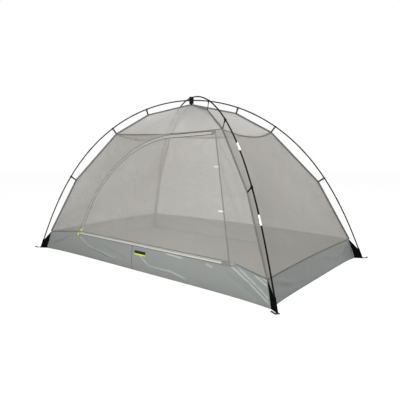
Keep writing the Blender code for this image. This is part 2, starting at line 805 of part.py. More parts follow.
def peg_hook(corner, eye, sideways, surface):
    """A wire ring through the gusset's eye, with a short shank and a thicker end."""
    outwards = diagonal(corner)
    across = Vector((0.0, 0.0, 1.0)).cross(outwards)
    matrix = frame_matrix(eye, outwards, across, Vector((0.0, 0.0, 1.0)))
    count = 14
    turns = [2 * math.pi * k / count for k in range(count)]
    middle = (PEG_RING_RADIUS, 0.0)
    ring_points = [(*polar(PEG_RING_RADIUS, turn, middle), 0.0) for turn in turns]
    name = f"peg_hook_{corner}"
    hook = wire_solid(name, ring_points, PEG_WIRE_RADIUS, matrix, surface, 1, cyclic=True)
    far = 2 * PEG_RING_RADIUS
    if sideways:
        root = polar(PEG_RING_RADIUS, -math.pi / 2, middle)
        knee = (root[0] - PEG_SHANK_LENGTH / 8, root[1] - PEG_SHANK_LENGTH / 2)
        tip = (knee[0] - PEG_SHANK_LENGTH / 2.2, knee[1] - PEG_SHANK_LENGTH / 3)
    else:
        root = (far, 0.0)
        knee = (far + PEG_SHANK_LENGTH / 2, 0.0)
        tip = (far + PEG_SHANK_LENGTH, 0.0)
    rise = PEG_TIP_RISE / 3
    shank_points = [(*root, 0.0), (*knee, 0.0), (*tip, rise)]
    shank = wire_solid("shank", shank_points, PEG_WIRE_RADIUS, matrix)
    heading = (Vector((*tip, 0.0)) - Vector((*knee, 0.0))).normalized()
    tip_start = Vector((*tip, rise)) - heading * PEG_TIP_RADIUS
    tip_end = tip_start + heading * PEG_TIP_LENGTH + Vector((0.0, 0.0, PEG_TIP_RISE))
    end = wire_solid("end", [tip_start, tip_end], PEG_TIP_RADIUS, matrix)
    hook = combine(hook, [shank, end])
    hook.data.shade_smooth()
    hook.data.set_sharp_from_angle(angle=math.radians(50))
    return hook


# The walls' top edge, seams and planes


def tub_mid_top(side):
    """Middle of the tub's top edge on one side, on the wall's plane."""
    height = {"left": TUB_SIDE_HEIGHT, "right": TUB_SIDE_HEIGHT, "back": TUB_BACK_HEIGHT}[side]
    return wall_middle(side, height)


def wall_corners(side):
    return {
        "front": ("front_left", "front_right"),
        "right": ("front_right", "back_right"),
        "back": ("back_right", "back_left"),
        "left": ("back_left", "front_left"),
    }[side]


def wall_middle(side, height):
    """The point of the wall's chord plane above the middle of its side."""
    first, second = wall_corners(side)
    low = (ridge_point(first, 0.0) + ridge_point(second, 0.0)) / 2
    high = (ridge_point(first, 1.0) + ridge_point(second, 1.0)) / 2
    return low.lerp(high, (height - low.z) / (high.z - low.z))


def seam_middle(side):
    """The middle of the roof seam, which sags down the wall's plane."""
    first, second = wall_corners(side)
    low = (ridge_point(first, 0.0) + ridge_point(second, 0.0)) / 2
    high = (ridge_point(first, 1.0) + ridge_point(second, 1.0)) / 2
    sag = {"front": ROOF_SAG_FRONT, "back": ROOF_SAG_BACK}.get(side, ROOF_SAG_SIDE)
    return high + (low - high).normalized() * sag


def hung(first, second, middle, cross):
    """A point between two held ends at cross -1 to 1, drawn to a middle point."""
    ends = first.lerp(second, (cross + 1) / 2)
    return ends + (middle - (first + second) / 2) * (1 - cross * cross)


def seam_point(side, cross):
    first, second = wall_corners(side)
    return hung(ridge_point(first, 1.0), ridge_point(second, 1.0), seam_middle(side), cross)


def tub_edge_point(side, cross):
    first, second = wall_corners(side)
    return hung(ridge_point(first, 0.0), ridge_point(second, 0.0), tub_mid_top(side), cross)


FRONT_LOW = (ridge_point("front_left", 0.0) + ridge_point("front_right", 0.0)) / 2
FRONT_HIGH = (ridge_point("front_left", 1.0) + ridge_point("front_right", 1.0)) / 2
FRONT_LENGTH = (FRONT_HIGH - FRONT_LOW).length
SLOPE_UP = (FRONT_HIGH - FRONT_LOW).normalized()
FRONT_OUT = Vector((1.0, 0.0, 0.0)).cross(SLOPE_UP)


def door_matrix(x=0.0, slope=0.0, out=0.0, turn=0.0):
    """A frame on the front wall's plane: x along it, y up its slope, z outwards."""
    origin = FRONT_LOW + Vector((x, 0.0, 0.0)) + SLOPE_UP * slope + FRONT_OUT * out
    base = frame_matrix(origin, Vector((1.0, 0.0, 0.0)), SLOPE_UP, FRONT_OUT)
    return base @ Matrix.Rotation(turn, 4, "Z")


def front_point(x, slope):
    return FRONT_LOW + Vector((x, 0.0, 0.0)) + SLOPE_UP * slope


# The door zip's line on the front plane


ARCH_CENTRE_X = TUB_HALF_LENGTH * ARCH_CENTRE_SHARES[0]
ARCH_CENTRE_SLOPE = FRONT_LENGTH * ARCH_CENTRE_SHARES[1]
ARCH_RADIUS = FRONT_LENGTH * ARCH_RADIUS_SHARE
ARCH_TAIL_X = TUB_HALF_LENGTH * ARCH_TAIL_SHARE
HINGE_SILL_X = TUB_HALF_LENGTH * HINGE_SILL_SHARE
HINGE_TOP_X = TUB_HALF_LENGTH * HINGE_TOP_SHARES[0]
HINGE_TOP_SLOPE = FRONT_LENGTH * HINGE_TOP_SHARES[1]
TIE_SLOPES = [FRONT_LENGTH * share for share in TIE_SLOPE_SHARES]
ARCH_LEFT_X = ARCH_CENTRE_X - ARCH_RADIUS
ARCH_TOP_SLOPE = ARCH_CENTRE_SLOPE + ARCH_RADIUS
CLOTH_ARCH_STEPS = 14
ZIP_ARCH_STEPS = 48
ZIP_START_X = ARCH_LEFT_X - ZIP_RUN_OUT
ZIP_END_X = HINGE_SILL_X + ZIP_RUN_OUT
SLIDER_HALF_WIDTH = COIL_GAP / 2 + COIL_WIDTH + SLIDER_CLEARANCE + SLIDER_FLANGE
NOTCH = SLIDER_HALF_WIDTH + 2 * SLIDER_CLEARANCE
ZIP_LEVEL = SEAM_GAP + TAPE_THICKNESS / 2


def arch_line(offset, steps, start_slope, end_x=ARCH_TAIL_X):
    """The zip's centre line moved outwards by an offset: straight rise, arc and tail."""
    centre = (ARCH_CENTRE_X, ARCH_CENTRE_SLOPE)
    line = []
    if start_slope < ARCH_CENTRE_SLOPE:
        line.append((ARCH_LEFT_X - offset, start_slope))
        first = math.pi
    else:
        first = math.pi - math.asin((start_slope - ARCH_CENTRE_SLOPE) / ARCH_RADIUS)
    line += arc_points(ARCH_RADIUS + offset, first, math.pi / 2, steps, centre)
    rise = ARCH_TAIL_RISE_SHARE * (end_x - ARCH_CENTRE_X)
    line.append((end_x, ARCH_TOP_SLOPE + rise + offset))
    return line


def hinge_x(slope):
    share = (slope - ZIP_SILL) / (HINGE_TOP_SLOPE - ZIP_SILL)
    return lerp(HINGE_SILL_X, HINGE_TOP_X, share)


# Net panels


def net_panel(name, rows, thickness, surface, fan=None):
    """A grid of points as a thin cloth. Its outer face is the grid."""
    shape = bmesh.new()
    grid = [[shape.verts.new(point) for point in row] for row in rows]
    for low, high in zip(grid, grid[1:]):
        for k in range(len(low) - 1):
            shape.faces.new((low[k], low[k + 1], high[k + 1], high[k]))
        if fan is not None:
            shape.faces.new((low[-1], low[0], high[0], high[-1]))
    if fan is not None:
        tip = shape.verts.new(fan)
        top = grid[-1]
        for k in range(len(top)):
            shape.faces.new((top[k], top[(k + 1) % len(top)], tip))
    bmesh.ops.recalc_face_normals(shape, faces=shape.faces)
    shape.faces.ensure_lookup_table()
    probe = shape.faces[len(shape.faces) // 2]
    inside = Vector((0.0, 0.0, TUB_CORNER_HEIGHT))
    if probe.normal.dot(probe.calc_center_median() - inside) < 0:
        bmesh.ops.reverse_faces(shape, faces=shape.faces)
    item = add_object(name, mesh_from_bmesh(name, shape, math.radians(50)), None, surface)
    cloth = item.modifiers.new("thickness", "SOLIDIFY")
    cloth.thickness = thickness
    cloth.offset = -1.0
    cloth.use_even_offset = True
    return item


def plain_wall(side, columns, surface):
    """A net wall without a door, hollowed between its ridges."""
    first, second = wall_corners(side)
    top = seam_middle(side)
    base = tub_mid_top(side)
    base += (top - base).normalized() * TUB_SEAM_GAP
    trim = MITRE_GAP if side == "back" else SEAM_GAP
    rows = []
    for share in WALL_ROW_SHARES:
        ends = [ridge_point(corner, share) for corner in (first, second)]
        if share == 0.0:
            above = [ridge_point(corner, None) for corner in (first, second)]
            ends = [end + (up - end).normalized() * TUB_SEAM_GAP for end, up in zip(ends, above)]
        low_z, high_z = RIDGE[0][1], RIDGE[2][1]
        part = (ends[0].z - low_z) / (high_z - low_z)
        middle = base.lerp(top, max(0.0, part))
        half = (ends[1] - ends[0]).length / 2
        row = []
        for k in range(columns + 1):
            cross = (2 * k / columns - 1) * (half - trim) / half
            row.append(hung(ends[0], ends[1], middle, cross))
        rows.append(row)
    return net_panel(f"net_{side}", rows, NET_THICKNESS, surface)


def front_wall(surface):
    """The fixed net round the door, an arch from sill to sill."""
    edge = CLOTH_EDGE
    sill = ZIP_SILL + NOTCH
    arc = arch_line(edge, CLOTH_ARCH_STEPS, sill)[1:-1]
    knee = len(RIDGE_ROW_SHARES) - 3
    inner = [(ZIP_START_X - NOTCH_RUN, sill), (ARCH_LEFT_X - edge, sill), *arc[: knee + 1]]
    trim = Vector((MITRE_GAP, 0.0, 0.0))
    outer = [ridge_point("front_left", share) + trim for share in RIDGE_ROW_SHARES]
    outer[-1] -= SLOPE_UP * MITRE_GAP
    tail_rise = ARCH_TAIL_RISE_SHARE * (ARCH_TAIL_X - ARCH_CENTRE_X)
    top_x = hinge_x(ARCH_TOP_SLOPE + tail_rise + edge) + HINGE_GAP / 2
    tail_end = arch_line(edge, CLOTH_ARCH_STEPS, sill, top_x)[-1]
    top_line = arc[knee:] + [
        (lerp(arc[-1][0], tail_end[0], k / 5), lerp(arc[-1][1], tail_end[1], k / 5))
        for k in range(1, 6)
    ]
    for index, place in enumerate(top_line[1:]):
        cross = -1 + 2 * (index + 1) / (len(top_line) - 1)
        inner.append(place)
        outer.append(seam_point("front", cross) - SLOPE_UP * MITRE_GAP)
    outer[-1] -= trim
    for share in HINGE_ROW_SHARES[1:]:
        outer.append(ridge_point("front_right", share) - trim)
        if share == 0.0:
            inner.append((ZIP_END_X + NOTCH_RUN, sill))
        else:
            low = ridge_place(share).y
            part = (low - RIDGE[0][1]) / (RIDGE[2][1] - RIDGE[0][1])
            least = ridge_place(HINGE_ROW_SHARES[-2]).y
            start = (least - RIDGE[0][1]) / (RIDGE[2][1] - RIDGE[0][1])
            slope = lerp(sill, tail_end[1], (part - start) / (1 - start))
            inner.append((hinge_x(slope) + HINGE_GAP / 2, slope))
    columns = []
    for (x, slope), far in zip(inner, outer):
        near = front_point(x, slope)
        bulge = FRONT_OUT * (far - FRONT_LOW).dot(FRONT_OUT)
        column = []
        for cross in SURROUND_CROSS_SHARES:
            column.append(near.lerp(far, cross) + bulge * (cross * cross - cross))
        columns.append(column)
    for index in (0, -1):
        columns[index] = [point + SLOPE_UP * TUB_SEAM_GAP for point in columns[index]]
    rows = [list(row) for row in zip(*columns)]
    return net_panel("net_front", rows, NET_THICKNESS, surface)


def roof_panel(surface):
    """The roof over four ridges, hollowed between them, with sagging seams."""
    segments = 8
    apex = Vector((0.0, 0.0, ROOF_HEIGHT))
    rings = []
    for share in (*ROOF_RING_SHARES, 1.0):
        ring = []
        for side in ("front", "right", "back", "left"):
            first, second = wall_corners(side)
            ends = [ridge_point(corner, share, 4, 2) for corner in (first, second)]
            part = (ROOF_HEIGHT - ends[0].z) / (ROOF_HEIGHT - RIDGE[2][1])
            middle = apex.lerp(seam_middle(side), part)
            for k in range(segments):
                ring.append(hung(ends[0], ends[1], middle, 2 * k / segments - 1))
        rings.append(ring)
    trimmed = []
    for point, inner in zip(rings[-1], rings[-2]):
        trimmed.append(point + (inner - point).normalized() * ROOF_TRIM)
    rings[-1] = trimmed
    return net_panel("net_roof", rings[::-1], NET_THICKNESS, surface, fan=apex)


def tub(surface):
    """The tub floor: a flat sheet with a wall all round, creased where it is drawn tight."""
    columns = []
    sill_top = ZIP_SILL - CLOTH_EDGE
    end_top = ZIP_SILL + NOTCH
    corner_x = ridge_point("front_right", 0.0).x
    low_y = -TUB_HALF_WIDTH

    def front_column(x_top, slope, x_low, fold):
        columns.append((front_point(x_top, slope), Vector((x_low, low_y, 0.0)), fold))

    columns.append((ridge_point("front_left", 0.0), corner_floor("front_left"), 0.0))
    stub = ZIP_START_X - NOTCH_RUN
    for top, low, fold in LEFT_FOLD_SHARES:
        x_low = lerp(-TUB_HALF_LENGTH, stub, low)
        front_column(lerp(-corner_x, stub, top), end_top * top, x_low, fold)
    front_column(stub, end_top, stub - NOTCH_RUN, 0.0)
    front_column(stub + NOTCH_RUN / 2, sill_top, stub, 0.0)
    stub_right = ZIP_END_X + NOTCH_RUN
    for top, low, fold in SILL_FOLD_SHARES:
        front_column(lerp(stub, stub_right, top), sill_top, lerp(stub, stub_right, low), fold)
    front_column(stub_right - NOTCH_RUN / 2, sill_top, lerp(stub, stub_right, 0.96), 0.0)
    front_column(stub_right, end_top, lerp(stub, stub_right, 0.98), 0.0)
    for top, low, fold in RIGHT_FOLD_SHARES:
        x_low = lerp(TUB_HALF_LENGTH, stub_right, low)
        front_column(lerp(corner_x, stub_right, top), end_top * top, x_low, fold)
    for side, count in WALL_COLUMNS[1:] + WALL_COLUMNS[:1]:
        first, second = wall_corners(side)
        for k in range(count):
            low = corner_floor(first).lerp(corner_floor(second), k / count)
            columns.append((tub_edge_point(side, 2 * k / count - 1), low, 0.0))
    rings = []
    for share in (0.0, *FOLD_RING_SHARES, 1.0):
        ring = []
        for index, (top, low, fold) in enumerate(columns):
            point = low.lerp(top, share)
            swell = math.sin(math.pi * share) * fold * TUB_FOLD_DEPTH
            ring.append(point + FRONT_OUT * swell)
        rings.append(ring)
    shape = bmesh.new()
    loops = [[shape.verts.new(point) for point in ring] for ring in rings]
    count = len(columns)
    for low, high in zip(loops, loops[1:]):
        for k in range(count):
            after = (k + 1) % count
            shape.faces.new((low[k], low[after], high[after], high[k]))
    floor = shape.faces.new(loops[0][::-1])
    bmesh.ops.triangulate(shape, faces=[floor])
    item = add_object("tub_floor", mesh_from_bmesh("tub_floor", shape), None, surface)
    cloth = item.modifiers.new("thickness", "SOLIDIFY")
    cloth.thickness = TUB_THICKNESS
    cloth.offset = -1.0
    cloth.use_even_offset = True
    return item


def corner_floor(corner):
    side_x, side_y = CORNERS[corner]
    return Vector((side_x * TUB_HALF_LENGTH, side_y * TUB_HALF_WIDTH, 0.0))


# Door panel and zips


def door_panel(surface):
    """The D-shaped net door inside the zip."""
    sill = ZIP_SILL + CLOTH_EDGE
    line = arch_line(-CLOTH_EDGE, CLOTH_ARCH_STEPS, sill)
    slope = line[-1][1]
    line[-1] = (hinge_x(slope) - HINGE_GAP / 2, slope)
    outline = line + [(hinge_x(sill) - HINGE_GAP / 2, sill)]
    matrix = door_matrix(out=-NET_THICKNESS / 2)
    return outline_solid("door_net", [outline], NET_THICKNESS, matrix, surface)


def arch_band(near, far, start_slope):
    """The flat band beside the arch, between two offsets from it."""
    steps = ZIP_ARCH_STEPS
    return arch_line(near, steps, start_slope) + arch_line(far, steps, start_slope)[::-1]


def rectangle(low_x, high_x, low_slope, high_slope):
    return [(low_x, low_slope), (high_x, low_slope), (high_x, high_slope), (low_x, high_slope)]


def zip_half(name, tape_outline, coil_outlines, surface):
    """One side of the zip: its tape, with the coils standing proud on both faces."""
    matrix = door_matrix(out=ZIP_LEVEL)
    tape = outline_solid(name, [tape_outline], TAPE_THICKNESS, matrix, surface)
    coils = [outline_solid("coil", [line], COIL_THICKNESS, matrix) for line in coil_outlines]
    return combine(tape, coils)


def zip_tapes(surface):
    near = COIL_GAP / 2
    far = near + COIL_WIDTH
    sewn = near + COIL_WIDTH / 2
    tape = rectangle(ZIP_START_X, ZIP_END_X, ZIP_SILL - TAPE_EDGE, ZIP_SILL - sewn)
    coil = rectangle(ZIP_START_X, ZIP_END_X, ZIP_SILL - far, ZIP_SILL - near)
    zip_half("zip_tape_tub", tape, [coil], surface)

    frame_start = ZIP_SILL + NOTCH + TAPE_END_GAP
    coil = arch_band(near, far, frame_start)
    zip_half("zip_tape_frame", arch_band(sewn, TAPE_EDGE, frame_start), [coil], surface)

    arch_start = ZIP_SILL + ARCH_SLIDER_PARK + SLIDER_LENGTH / 2 + TAPE_END_GAP
    sill_start = ARCH_LEFT_X + SLIDER_HALF_WIDTH + TAPE_END_GAP
    sill_end = hinge_x(ZIP_SILL) - TAPE_EDGE / 2
    tape = arch_line(-sewn, ZIP_ARCH_STEPS, arch_start)
    tape += arch_line(-TAPE_EDGE, ZIP_ARCH_STEPS, ZIP_SILL + TAPE_EDGE)[::-1]
    tape += [(sill_end, ZIP_SILL + TAPE_EDGE), (sill_end, ZIP_SILL + sewn)]
    tape += [(sill_start, ZIP_SILL + sewn), (sill_start, arch_start)]
    coils = [
        arch_band(-near, -far, arch_start),
        rectangle(sill_start, sill_end, ZIP_SILL + near, ZIP_SILL + far),
    ]
    zip_half("zip_tape_door", tape, coils, surface)


# Sliders and pull tabs


def slider_frames():
    """Frames of the two parked sliders: x along the zip, z outwards."""
    turn = math.asin((ZIP_SILL + ARCH_SLIDER_PARK - ARCH_CENTRE_SLOPE) / ARCH_RADIUS)
    place = polar(ARCH_RADIUS, math.pi - turn, (ARCH_CENTRE_X, ARCH_CENTRE_SLOPE))
    arch = door_matrix(place[0], place[1], ZIP_LEVEL, math.pi / 2 - turn)
    sill = door_matrix(ARCH_LEFT_X - SILL_SLIDER_PARK, ZIP_SILL, ZIP_LEVEL)
    return arch, sill


def zip_slider(name, frame, bridge_turn, surface):
    """Two plates joined by a post between the coils, flanges, and a bridge on top."""
    level = COIL_THICKNESS / 2 + SLIDER_CLEARANCE + SLIDER_PLATE / 2
    half = SLIDER_LENGTH / 2
    wide = SLIDER_HALF_WIDTH
    nose = SLIDER_NOSE_WIDTH / 2
    outline = [(-half, -nose), (-half / 2, -wide), (half, -wide)]
    outline += [(half, wide), (-half / 2, wide), (-half, nose)]
    front = outline_solid(
        name, [outline], SLIDER_PLATE, frame @ Matrix.Translation((0, 0, level)), surface
    )
    back = outline_solid(
        "back", [outline], SLIDER_PLATE, frame @ Matrix.Translation((0, 0, -level))
    )
    post_size = (SLIDER_POST_LENGTH, COIL_GAP - 2 * SLIDER_CLEARANCE, 2 * level)
    post = box_solid("post", post_size, frame @ Matrix.Translation((half / 2, 0, 0)))
    flanges = []
    flange_low = TAPE_THICKNESS / 2 + SLIDER_CLEARANCE
    flange_height = level - flange_low
    for side in (-1, 1):
        for face in (-1, 1):
            across = side * (wide - SLIDER_FLANGE_INSET - SLIDER_FLANGE / 2)
            place = (half / 4, across, face * (level + flange_low) / 2)
            size = (SLIDER_LENGTH * 0.6, SLIDER_FLANGE, flange_height)
            flanges.append(box_solid("flange", size, frame @ Matrix.Translation(place)))
    top = level + SLIDER_PLATE / 2
    ceiling = top + BRIDGE_HEADROOM + BRIDGE_RADIUS
    span = BRIDGE_SPAN / 2
    corner = BRIDGE_HEADROOM / 3
    route = [
        (-span, 0, level), (-span, 0, ceiling - corner), (-span + corner, 0, ceiling),
        (span - corner, 0, ceiling), (span, 0, ceiling - corner), (span, 0, level),
    ]
    turned = frame @ Matrix.Rotation(bridge_turn, 4, "Z")
    bridge = wire_solid("bridge", route, BRIDGE_RADIUS, turned)
    return combine(front, [back, post, *flanges, bridge])


def pull_tab(name, frame, hang_turn, surface):
    """A tab hanging from the bridge by a bar. Its frame has x along the hanging tab."""
    level = COIL_THICKNESS / 2 + SLIDER_CLEARANCE + SLIDER_PLATE + BRIDGE_HEADROOM / 2
    hang = frame @ Matrix.Rotation(hang_turn, 4, "Z") @ Matrix.Translation((0, 0, level))
    bar = TAB_THICKNESS / 2
    end = TAB_LENGTH - bar
    half = TAB_WIDTH / 2
    round_off = TAB_WIDTH / 4
    outline = [(-bar, -half * 0.8), (end - round_off, -half), (end, -half + round_off)]
    outline += [(end, half - round_off), (end - round_off, half), (-bar, half * 0.8)]
    slot_half = TAB_SLOT_WIDTH / 2
    slot = [(bar, -slot_half), (bar, slot_half)]
    slot += [(bar + TAB_SLOT_LENGTH, slot_half), (bar + TAB_SLOT_LENGTH, -slot_half)]
    return outline_solid(name, [outline, slot], TAB_THICKNESS, hang, surface)


# Tie-backs and label


def tie_back(name, slope, surface):
    """A webbing tab rolled at the seam, with a barrel toggle across its free end."""
    seam = Vector((HINGE_TOP_X - HINGE_SILL_X, HINGE_TOP_SLOPE - ZIP_SILL)).normalized()
    turn = math.atan2(-seam.x, seam.y) + math.pi
    out = -(NET_THICKNESS + SEAM_GAP + TIE_ROLL_RADIUS)
    frame = door_matrix(hinge_x(slope) + TIE_SEAM_OFFSET, slope, out, turn)
    strip = box_solid(
        name,
        (TIE_LENGTH, TIE_WIDTH, TIE_THICKNESS),
        frame @ Matrix.Translation((TIE_LENGTH / 2, 0, 0)),
        surface,
    )
    sideways = Matrix.Rotation(math.pi / 2, 4, "X")
    roll = cone_solid("roll", TIE_ROLL_RADIUS, TIE_ROLL_RADIUS, TIE_WIDTH, 10, frame @ sideways)
    toggle_place = (TIE_LENGTH * 0.86, 0.0, -TIE_TOGGLE_RADIUS * 0.8)
    toggle = cone_solid(
        "toggle", TIE_TOGGLE_RADIUS, TIE_TOGGLE_RADIUS, TIE_TOGGLE_LENGTH, 10,
        frame @ Matrix.Translation(toggle_place) @ sideways,
    )
    return combine(strip, [roll, toggle])


def label_patch(surface):
    sill_top = front_point(0.0, ZIP_SILL - CLOTH_EDGE)
    low = Vector((0.0, -TUB_HALF_WIDTH, 0.0))
    up = (sill_top - low).normalized()
    out = Vector((1.0, 0.0, 0.0)).cross(up)
    middle = low + up * ((LABEL_TOP_HEIGHT - LABEL_HEIGHT / 2) / up.z)
    middle += out * (SEAM_GAP + LABEL_THICKNESS / 2)
    middle.x = lerp(ZIP_START_X, ZIP_END_X, LABEL_END_SHARE) - LABEL_LENGTH / 2
    matrix = frame_matrix(middle, Vector((1.0, 0.0, 0.0)), up, out)
    size = (LABEL_LENGTH, LABEL_HEIGHT, LABEL_THICKNESS)
    return box_solid("label_patch", size, matrix, surface)


def build():
    clear_scene()
    bpy.context.scene.collection.children.link(TENT)
    bpy.context.scene.collection.children.link(CUTTERS)
    net = material("net", (0.40, 0.40, 0.38), 0.9)
    net_roof = material("net_roof", (0.44, 0.44, 0.42), 0.9)
    tub_cloth = material("tub_cloth", (0.33, 0.35, 0.34), 0.75)
    fibreglass = material("fibreglass", (0.02, 0.02, 0.022), 0.35)
    elastic = material("elastic", (0.04, 0.04, 0.04), 0.9)
    plastic = material("clip_plastic", (0.015, 0.015, 0.017), 0.45)
    webbing = material("binding", (0.16, 0.16, 0.15), 0.85)
    black_cloth = material("gusset_cloth", (0.012, 0.012, 0.013), 0.85)
    steel = material("peg_wire", (0.10, 0.10, 0.11), 0.4, 0.8)
    zip_cloth = material("zip_tape", (0.42, 0.42, 0.40), 0.8)
    slider_metal = material("slider_metal", (0.25, 0.26, 0.24), 0.4, 0.9)
    lime = material("pull_tab", (0.50, 0.62, 0.08), 0.6)
    pale = material("tie_back", (0.62, 0.62, 0.60), 0.85)
    label = material("label", (0.02, 0.02, 0.02), 0.7)

    tub(tub_cloth)
    label_patch(label)
    front_wall(net)
    for side, columns in WALL_COLUMNS:
        plain_wall(side, columns, net)
    roof_panel(net_roof)
    door_panel(net)
    zip_tapes(zip_cloth)
    arch_frame, sill_frame = slider_frames()
    zip_slider("slider_arch", arch_frame, 0.0, slider_metal)
    zip_slider("slider_sill", sill_frame, math.pi / 2, slider_metal)
    pull_tab("pull_tab_arch", arch_frame, math.pi, lime)
    pull_tab("pull_tab_sill", sill_frame, -math.pi / 2, lime)
    for label_name, slope in zip(("upper", "lower"), TIE_SLOPES):
        tie_back(f"tie_back_{label_name}", slope, pale)

    low_path = PolePath("front_left", "back_right", LOW_POLE_HEIGHT)
    high_path = PolePath("front_right", "back_left", HIGH_POLE_HEIGHT)
    build_pole("low", low_path, fibreglass, elastic)
    build_pole("high", high_path, fibreglass, elastic)
    crossing_hub(low_path, high_path, plastic)
    ends = (
        ("front_left", low_path, True),
        ("back_right", low_path, False),
        ("front_right", high_path, True),
        ("back_left", high_path, False),
    )
    for corner, path, from_start in ends:
        frames = [clip_frame(path, bend, corner) for bend in (1, 2, 3)]
        for place, (frame, _) in zip(("low", "middle", "high"), frames):
            pole_clip(f"clip_{corner}_{place}", frame, plastic)
        ridge_binding(corner, frames, webbing)
        _, eye = corner_gusset(corner, path, from_start, black_cloth)
        peg_hook(corner, eye, corner == "front_right", steel)


build()
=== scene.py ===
"""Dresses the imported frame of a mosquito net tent: cloth, nets, zips, poles and studio."""

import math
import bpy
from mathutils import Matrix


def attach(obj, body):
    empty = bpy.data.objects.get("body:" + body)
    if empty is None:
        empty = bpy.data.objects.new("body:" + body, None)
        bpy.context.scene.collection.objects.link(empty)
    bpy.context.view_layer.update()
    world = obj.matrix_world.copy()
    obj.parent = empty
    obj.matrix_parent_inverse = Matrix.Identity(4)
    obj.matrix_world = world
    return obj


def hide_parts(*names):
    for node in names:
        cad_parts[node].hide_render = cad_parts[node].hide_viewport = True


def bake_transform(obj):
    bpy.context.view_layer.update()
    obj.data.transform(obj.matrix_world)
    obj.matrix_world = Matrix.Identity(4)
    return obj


bl_info = {
    "name": "Mosquito net tent",
    "version": (1, 0, 0),
    "blender": (4, 5, 0),
    "location": "3D View > Sidebar > Net tent",
    "description": "Builds the cloth, nets, zips and poles of a free-standing net tent on its frame",
    "category": "Object",
}

import bmesh
import bpy
import numpy as np
from mathutils import Matrix, Vector, noise

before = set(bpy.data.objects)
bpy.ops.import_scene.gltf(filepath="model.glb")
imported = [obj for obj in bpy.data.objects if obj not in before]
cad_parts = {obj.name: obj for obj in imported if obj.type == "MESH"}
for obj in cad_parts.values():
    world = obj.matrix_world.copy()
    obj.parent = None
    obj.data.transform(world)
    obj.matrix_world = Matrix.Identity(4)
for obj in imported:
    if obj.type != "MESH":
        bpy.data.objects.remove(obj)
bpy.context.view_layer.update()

# The frame's measures, in metres, as the solids have them
TUB_HALF_LENGTH = 1.053
TUB_HALF_WIDTH = 0.628
TUB_CORNER_LEAN = 0.044
TUB_CORNER_HEIGHT = 0.1414
TUB_SIDE_HEIGHT = 0.150
TUB_BACK_HEIGHT = 0.158
ROOF_SAG = {"front": 0.018, "back": 0.027, "left": 0.048, "right": 0.048}
ROOF_HEIGHT = 1.1432
HIGH_BEND_HEIGHT = 0.9314
FOOT_OUTSET = 0.055
POLE_RADIUS = 0.0045
POLE_TIP_RADIUS = 0.0034
POLE_TIP_LENGTH = 0.008
POLE_CLEARANCE = 0.0003
POLE_BEND_SHARE = 0.83
FERRULE_LENGTH = 0.058
SECTIONS_PER_HALF = 4
HUB_STRAP_HEIGHT = 0.0348
HUB_CROSSING_RISE = 0.020
CLIP_WALL = 0.0024
CLIP_NECK = 0.0016
CLIP_WINDOW = 0.0030
CLIP_BAR = 0.0028
CLIP_FRAME_THICKNESS = 0.0032
STRAP_WIDTH = 0.0110
STRAP_PLY = 0.0009
STRAP_GAP = 0.0003
FIN_HEIGHT = 0.0090
FIN_END_GAP = 0.0015
FIN_APEX_GAP = 0.0125
FIN_STEP = 0.03
POCKET_LENGTH = 0.075
POCKET_WALL = 0.0015
POCKET_FLOOR = 0.0012
GUSSET_THICKNESS = 0.0022
GUSSET_BEVEL = 0.0004
GUSSET_PIPING_RADIUS = 0.0018
GUSSET_GAP = 0.0006
GUSSET_GROUND_GAP = 0.0006
EYE_OUTSET = 0.0112
EYE_HOLE_RADIUS = 0.0024
EYE_RADIUS = 0.0040
SEAM_GAP = 0.0003
NET_THICKNESS = 0.0008
ZIP_SILL = 0.0413
ARCH_CENTRE_X = 0.128
ARCH_CENTRE_SLOPE = 0.065
ARCH_RADIUS = 0.746
ARCH_TAIL_X = 0.4555
ARCH_TAIL_RISE = 0.013
HINGE_SILL_X = 0.768
HINGE_TOP_X = 0.456
HINGE_TOP_SLOPE = 0.840
HINGE_GAP = 0.0006
HINGE_TAPE_HALF_WIDTH = 0.0030
HINGE_TAPE_LEVEL = 0.0011
HINGE_TAPE_THICKNESS = 0.0008
FOOT_INSET_LONG_SIDES = 0.028
FOOT_INSET_ENDS = 0.018
FOOT_ROUNDING = 1.7
FOLD_STRENGTH = 1.3
TUB_FRONT_COLUMNS = (60, 280, 60)
TUB_ROWS = 56
TENT_MIDDLE = np.array([0.0, 0.0, 0.3])
PULL_RAYS = 10.0
HEM_LIFT = 0.0008
HEM_THICKNESS = 0.0006
NET_HEM_WIDTH = 0.0060
ROOF_HEM_WIDTH = 0.0075
ZIP_RUN_OUT = 0.035
NOTCH_RUN = 0.0040
CLOTH_EDGE = 0.0062
COIL_GAP = 0.0012
COIL_WIDTH = 0.0022
COIL_THICKNESS = 0.0024
TAPE_EDGE = 0.0105
TAPE_THICKNESS = 0.0005
ZIP_CLEARANCE = 0.0008
DOOR_TAPE_RISE = 0.041
PIPING_THICKNESS = 0.0013
PATCH_THICKNESS = 0.0007
PATCH_CROWN = 0.0003
PATCH_RISE = 0.0016
BAND_RISE = 0.0009
SLIDER_HALF_WIDTH = 0.0039
HOOK_RING_RADIUS = 0.0050
HOOK_WIRE_RADIUS = 0.0015
HOOK_SHANK_RADIUS = 0.0043
GRIP_START = -0.003
GRIP_END = 0.0155
GRIP_HALF_WIDTH = 0.0080
GRIP_HALF_DEPTH = 0.0030
GRIP_OFFSET = 0.0007
TIE_SLOPES = {"upper": 0.601, "lower": 0.326}
TIE_LENGTH = 0.045
TIE_WIDTH = 0.011
TIE_ROLL_RADIUS = 0.0014
TIE_SEAM_OFFSET = 0.004
TIE_TURN = math.radians(20)
TIE_BEND = 0.012
TIE_DROOP = 0.0006
TOGGLE_HALF_LENGTH = 0.010
TOGGLE_RADIUS = 0.0028
LABEL_X = 0.004
LABEL_LENGTH = 0.103
LABEL_HEIGHT = 0.028
LABEL_TOP_HEIGHT = 0.1385

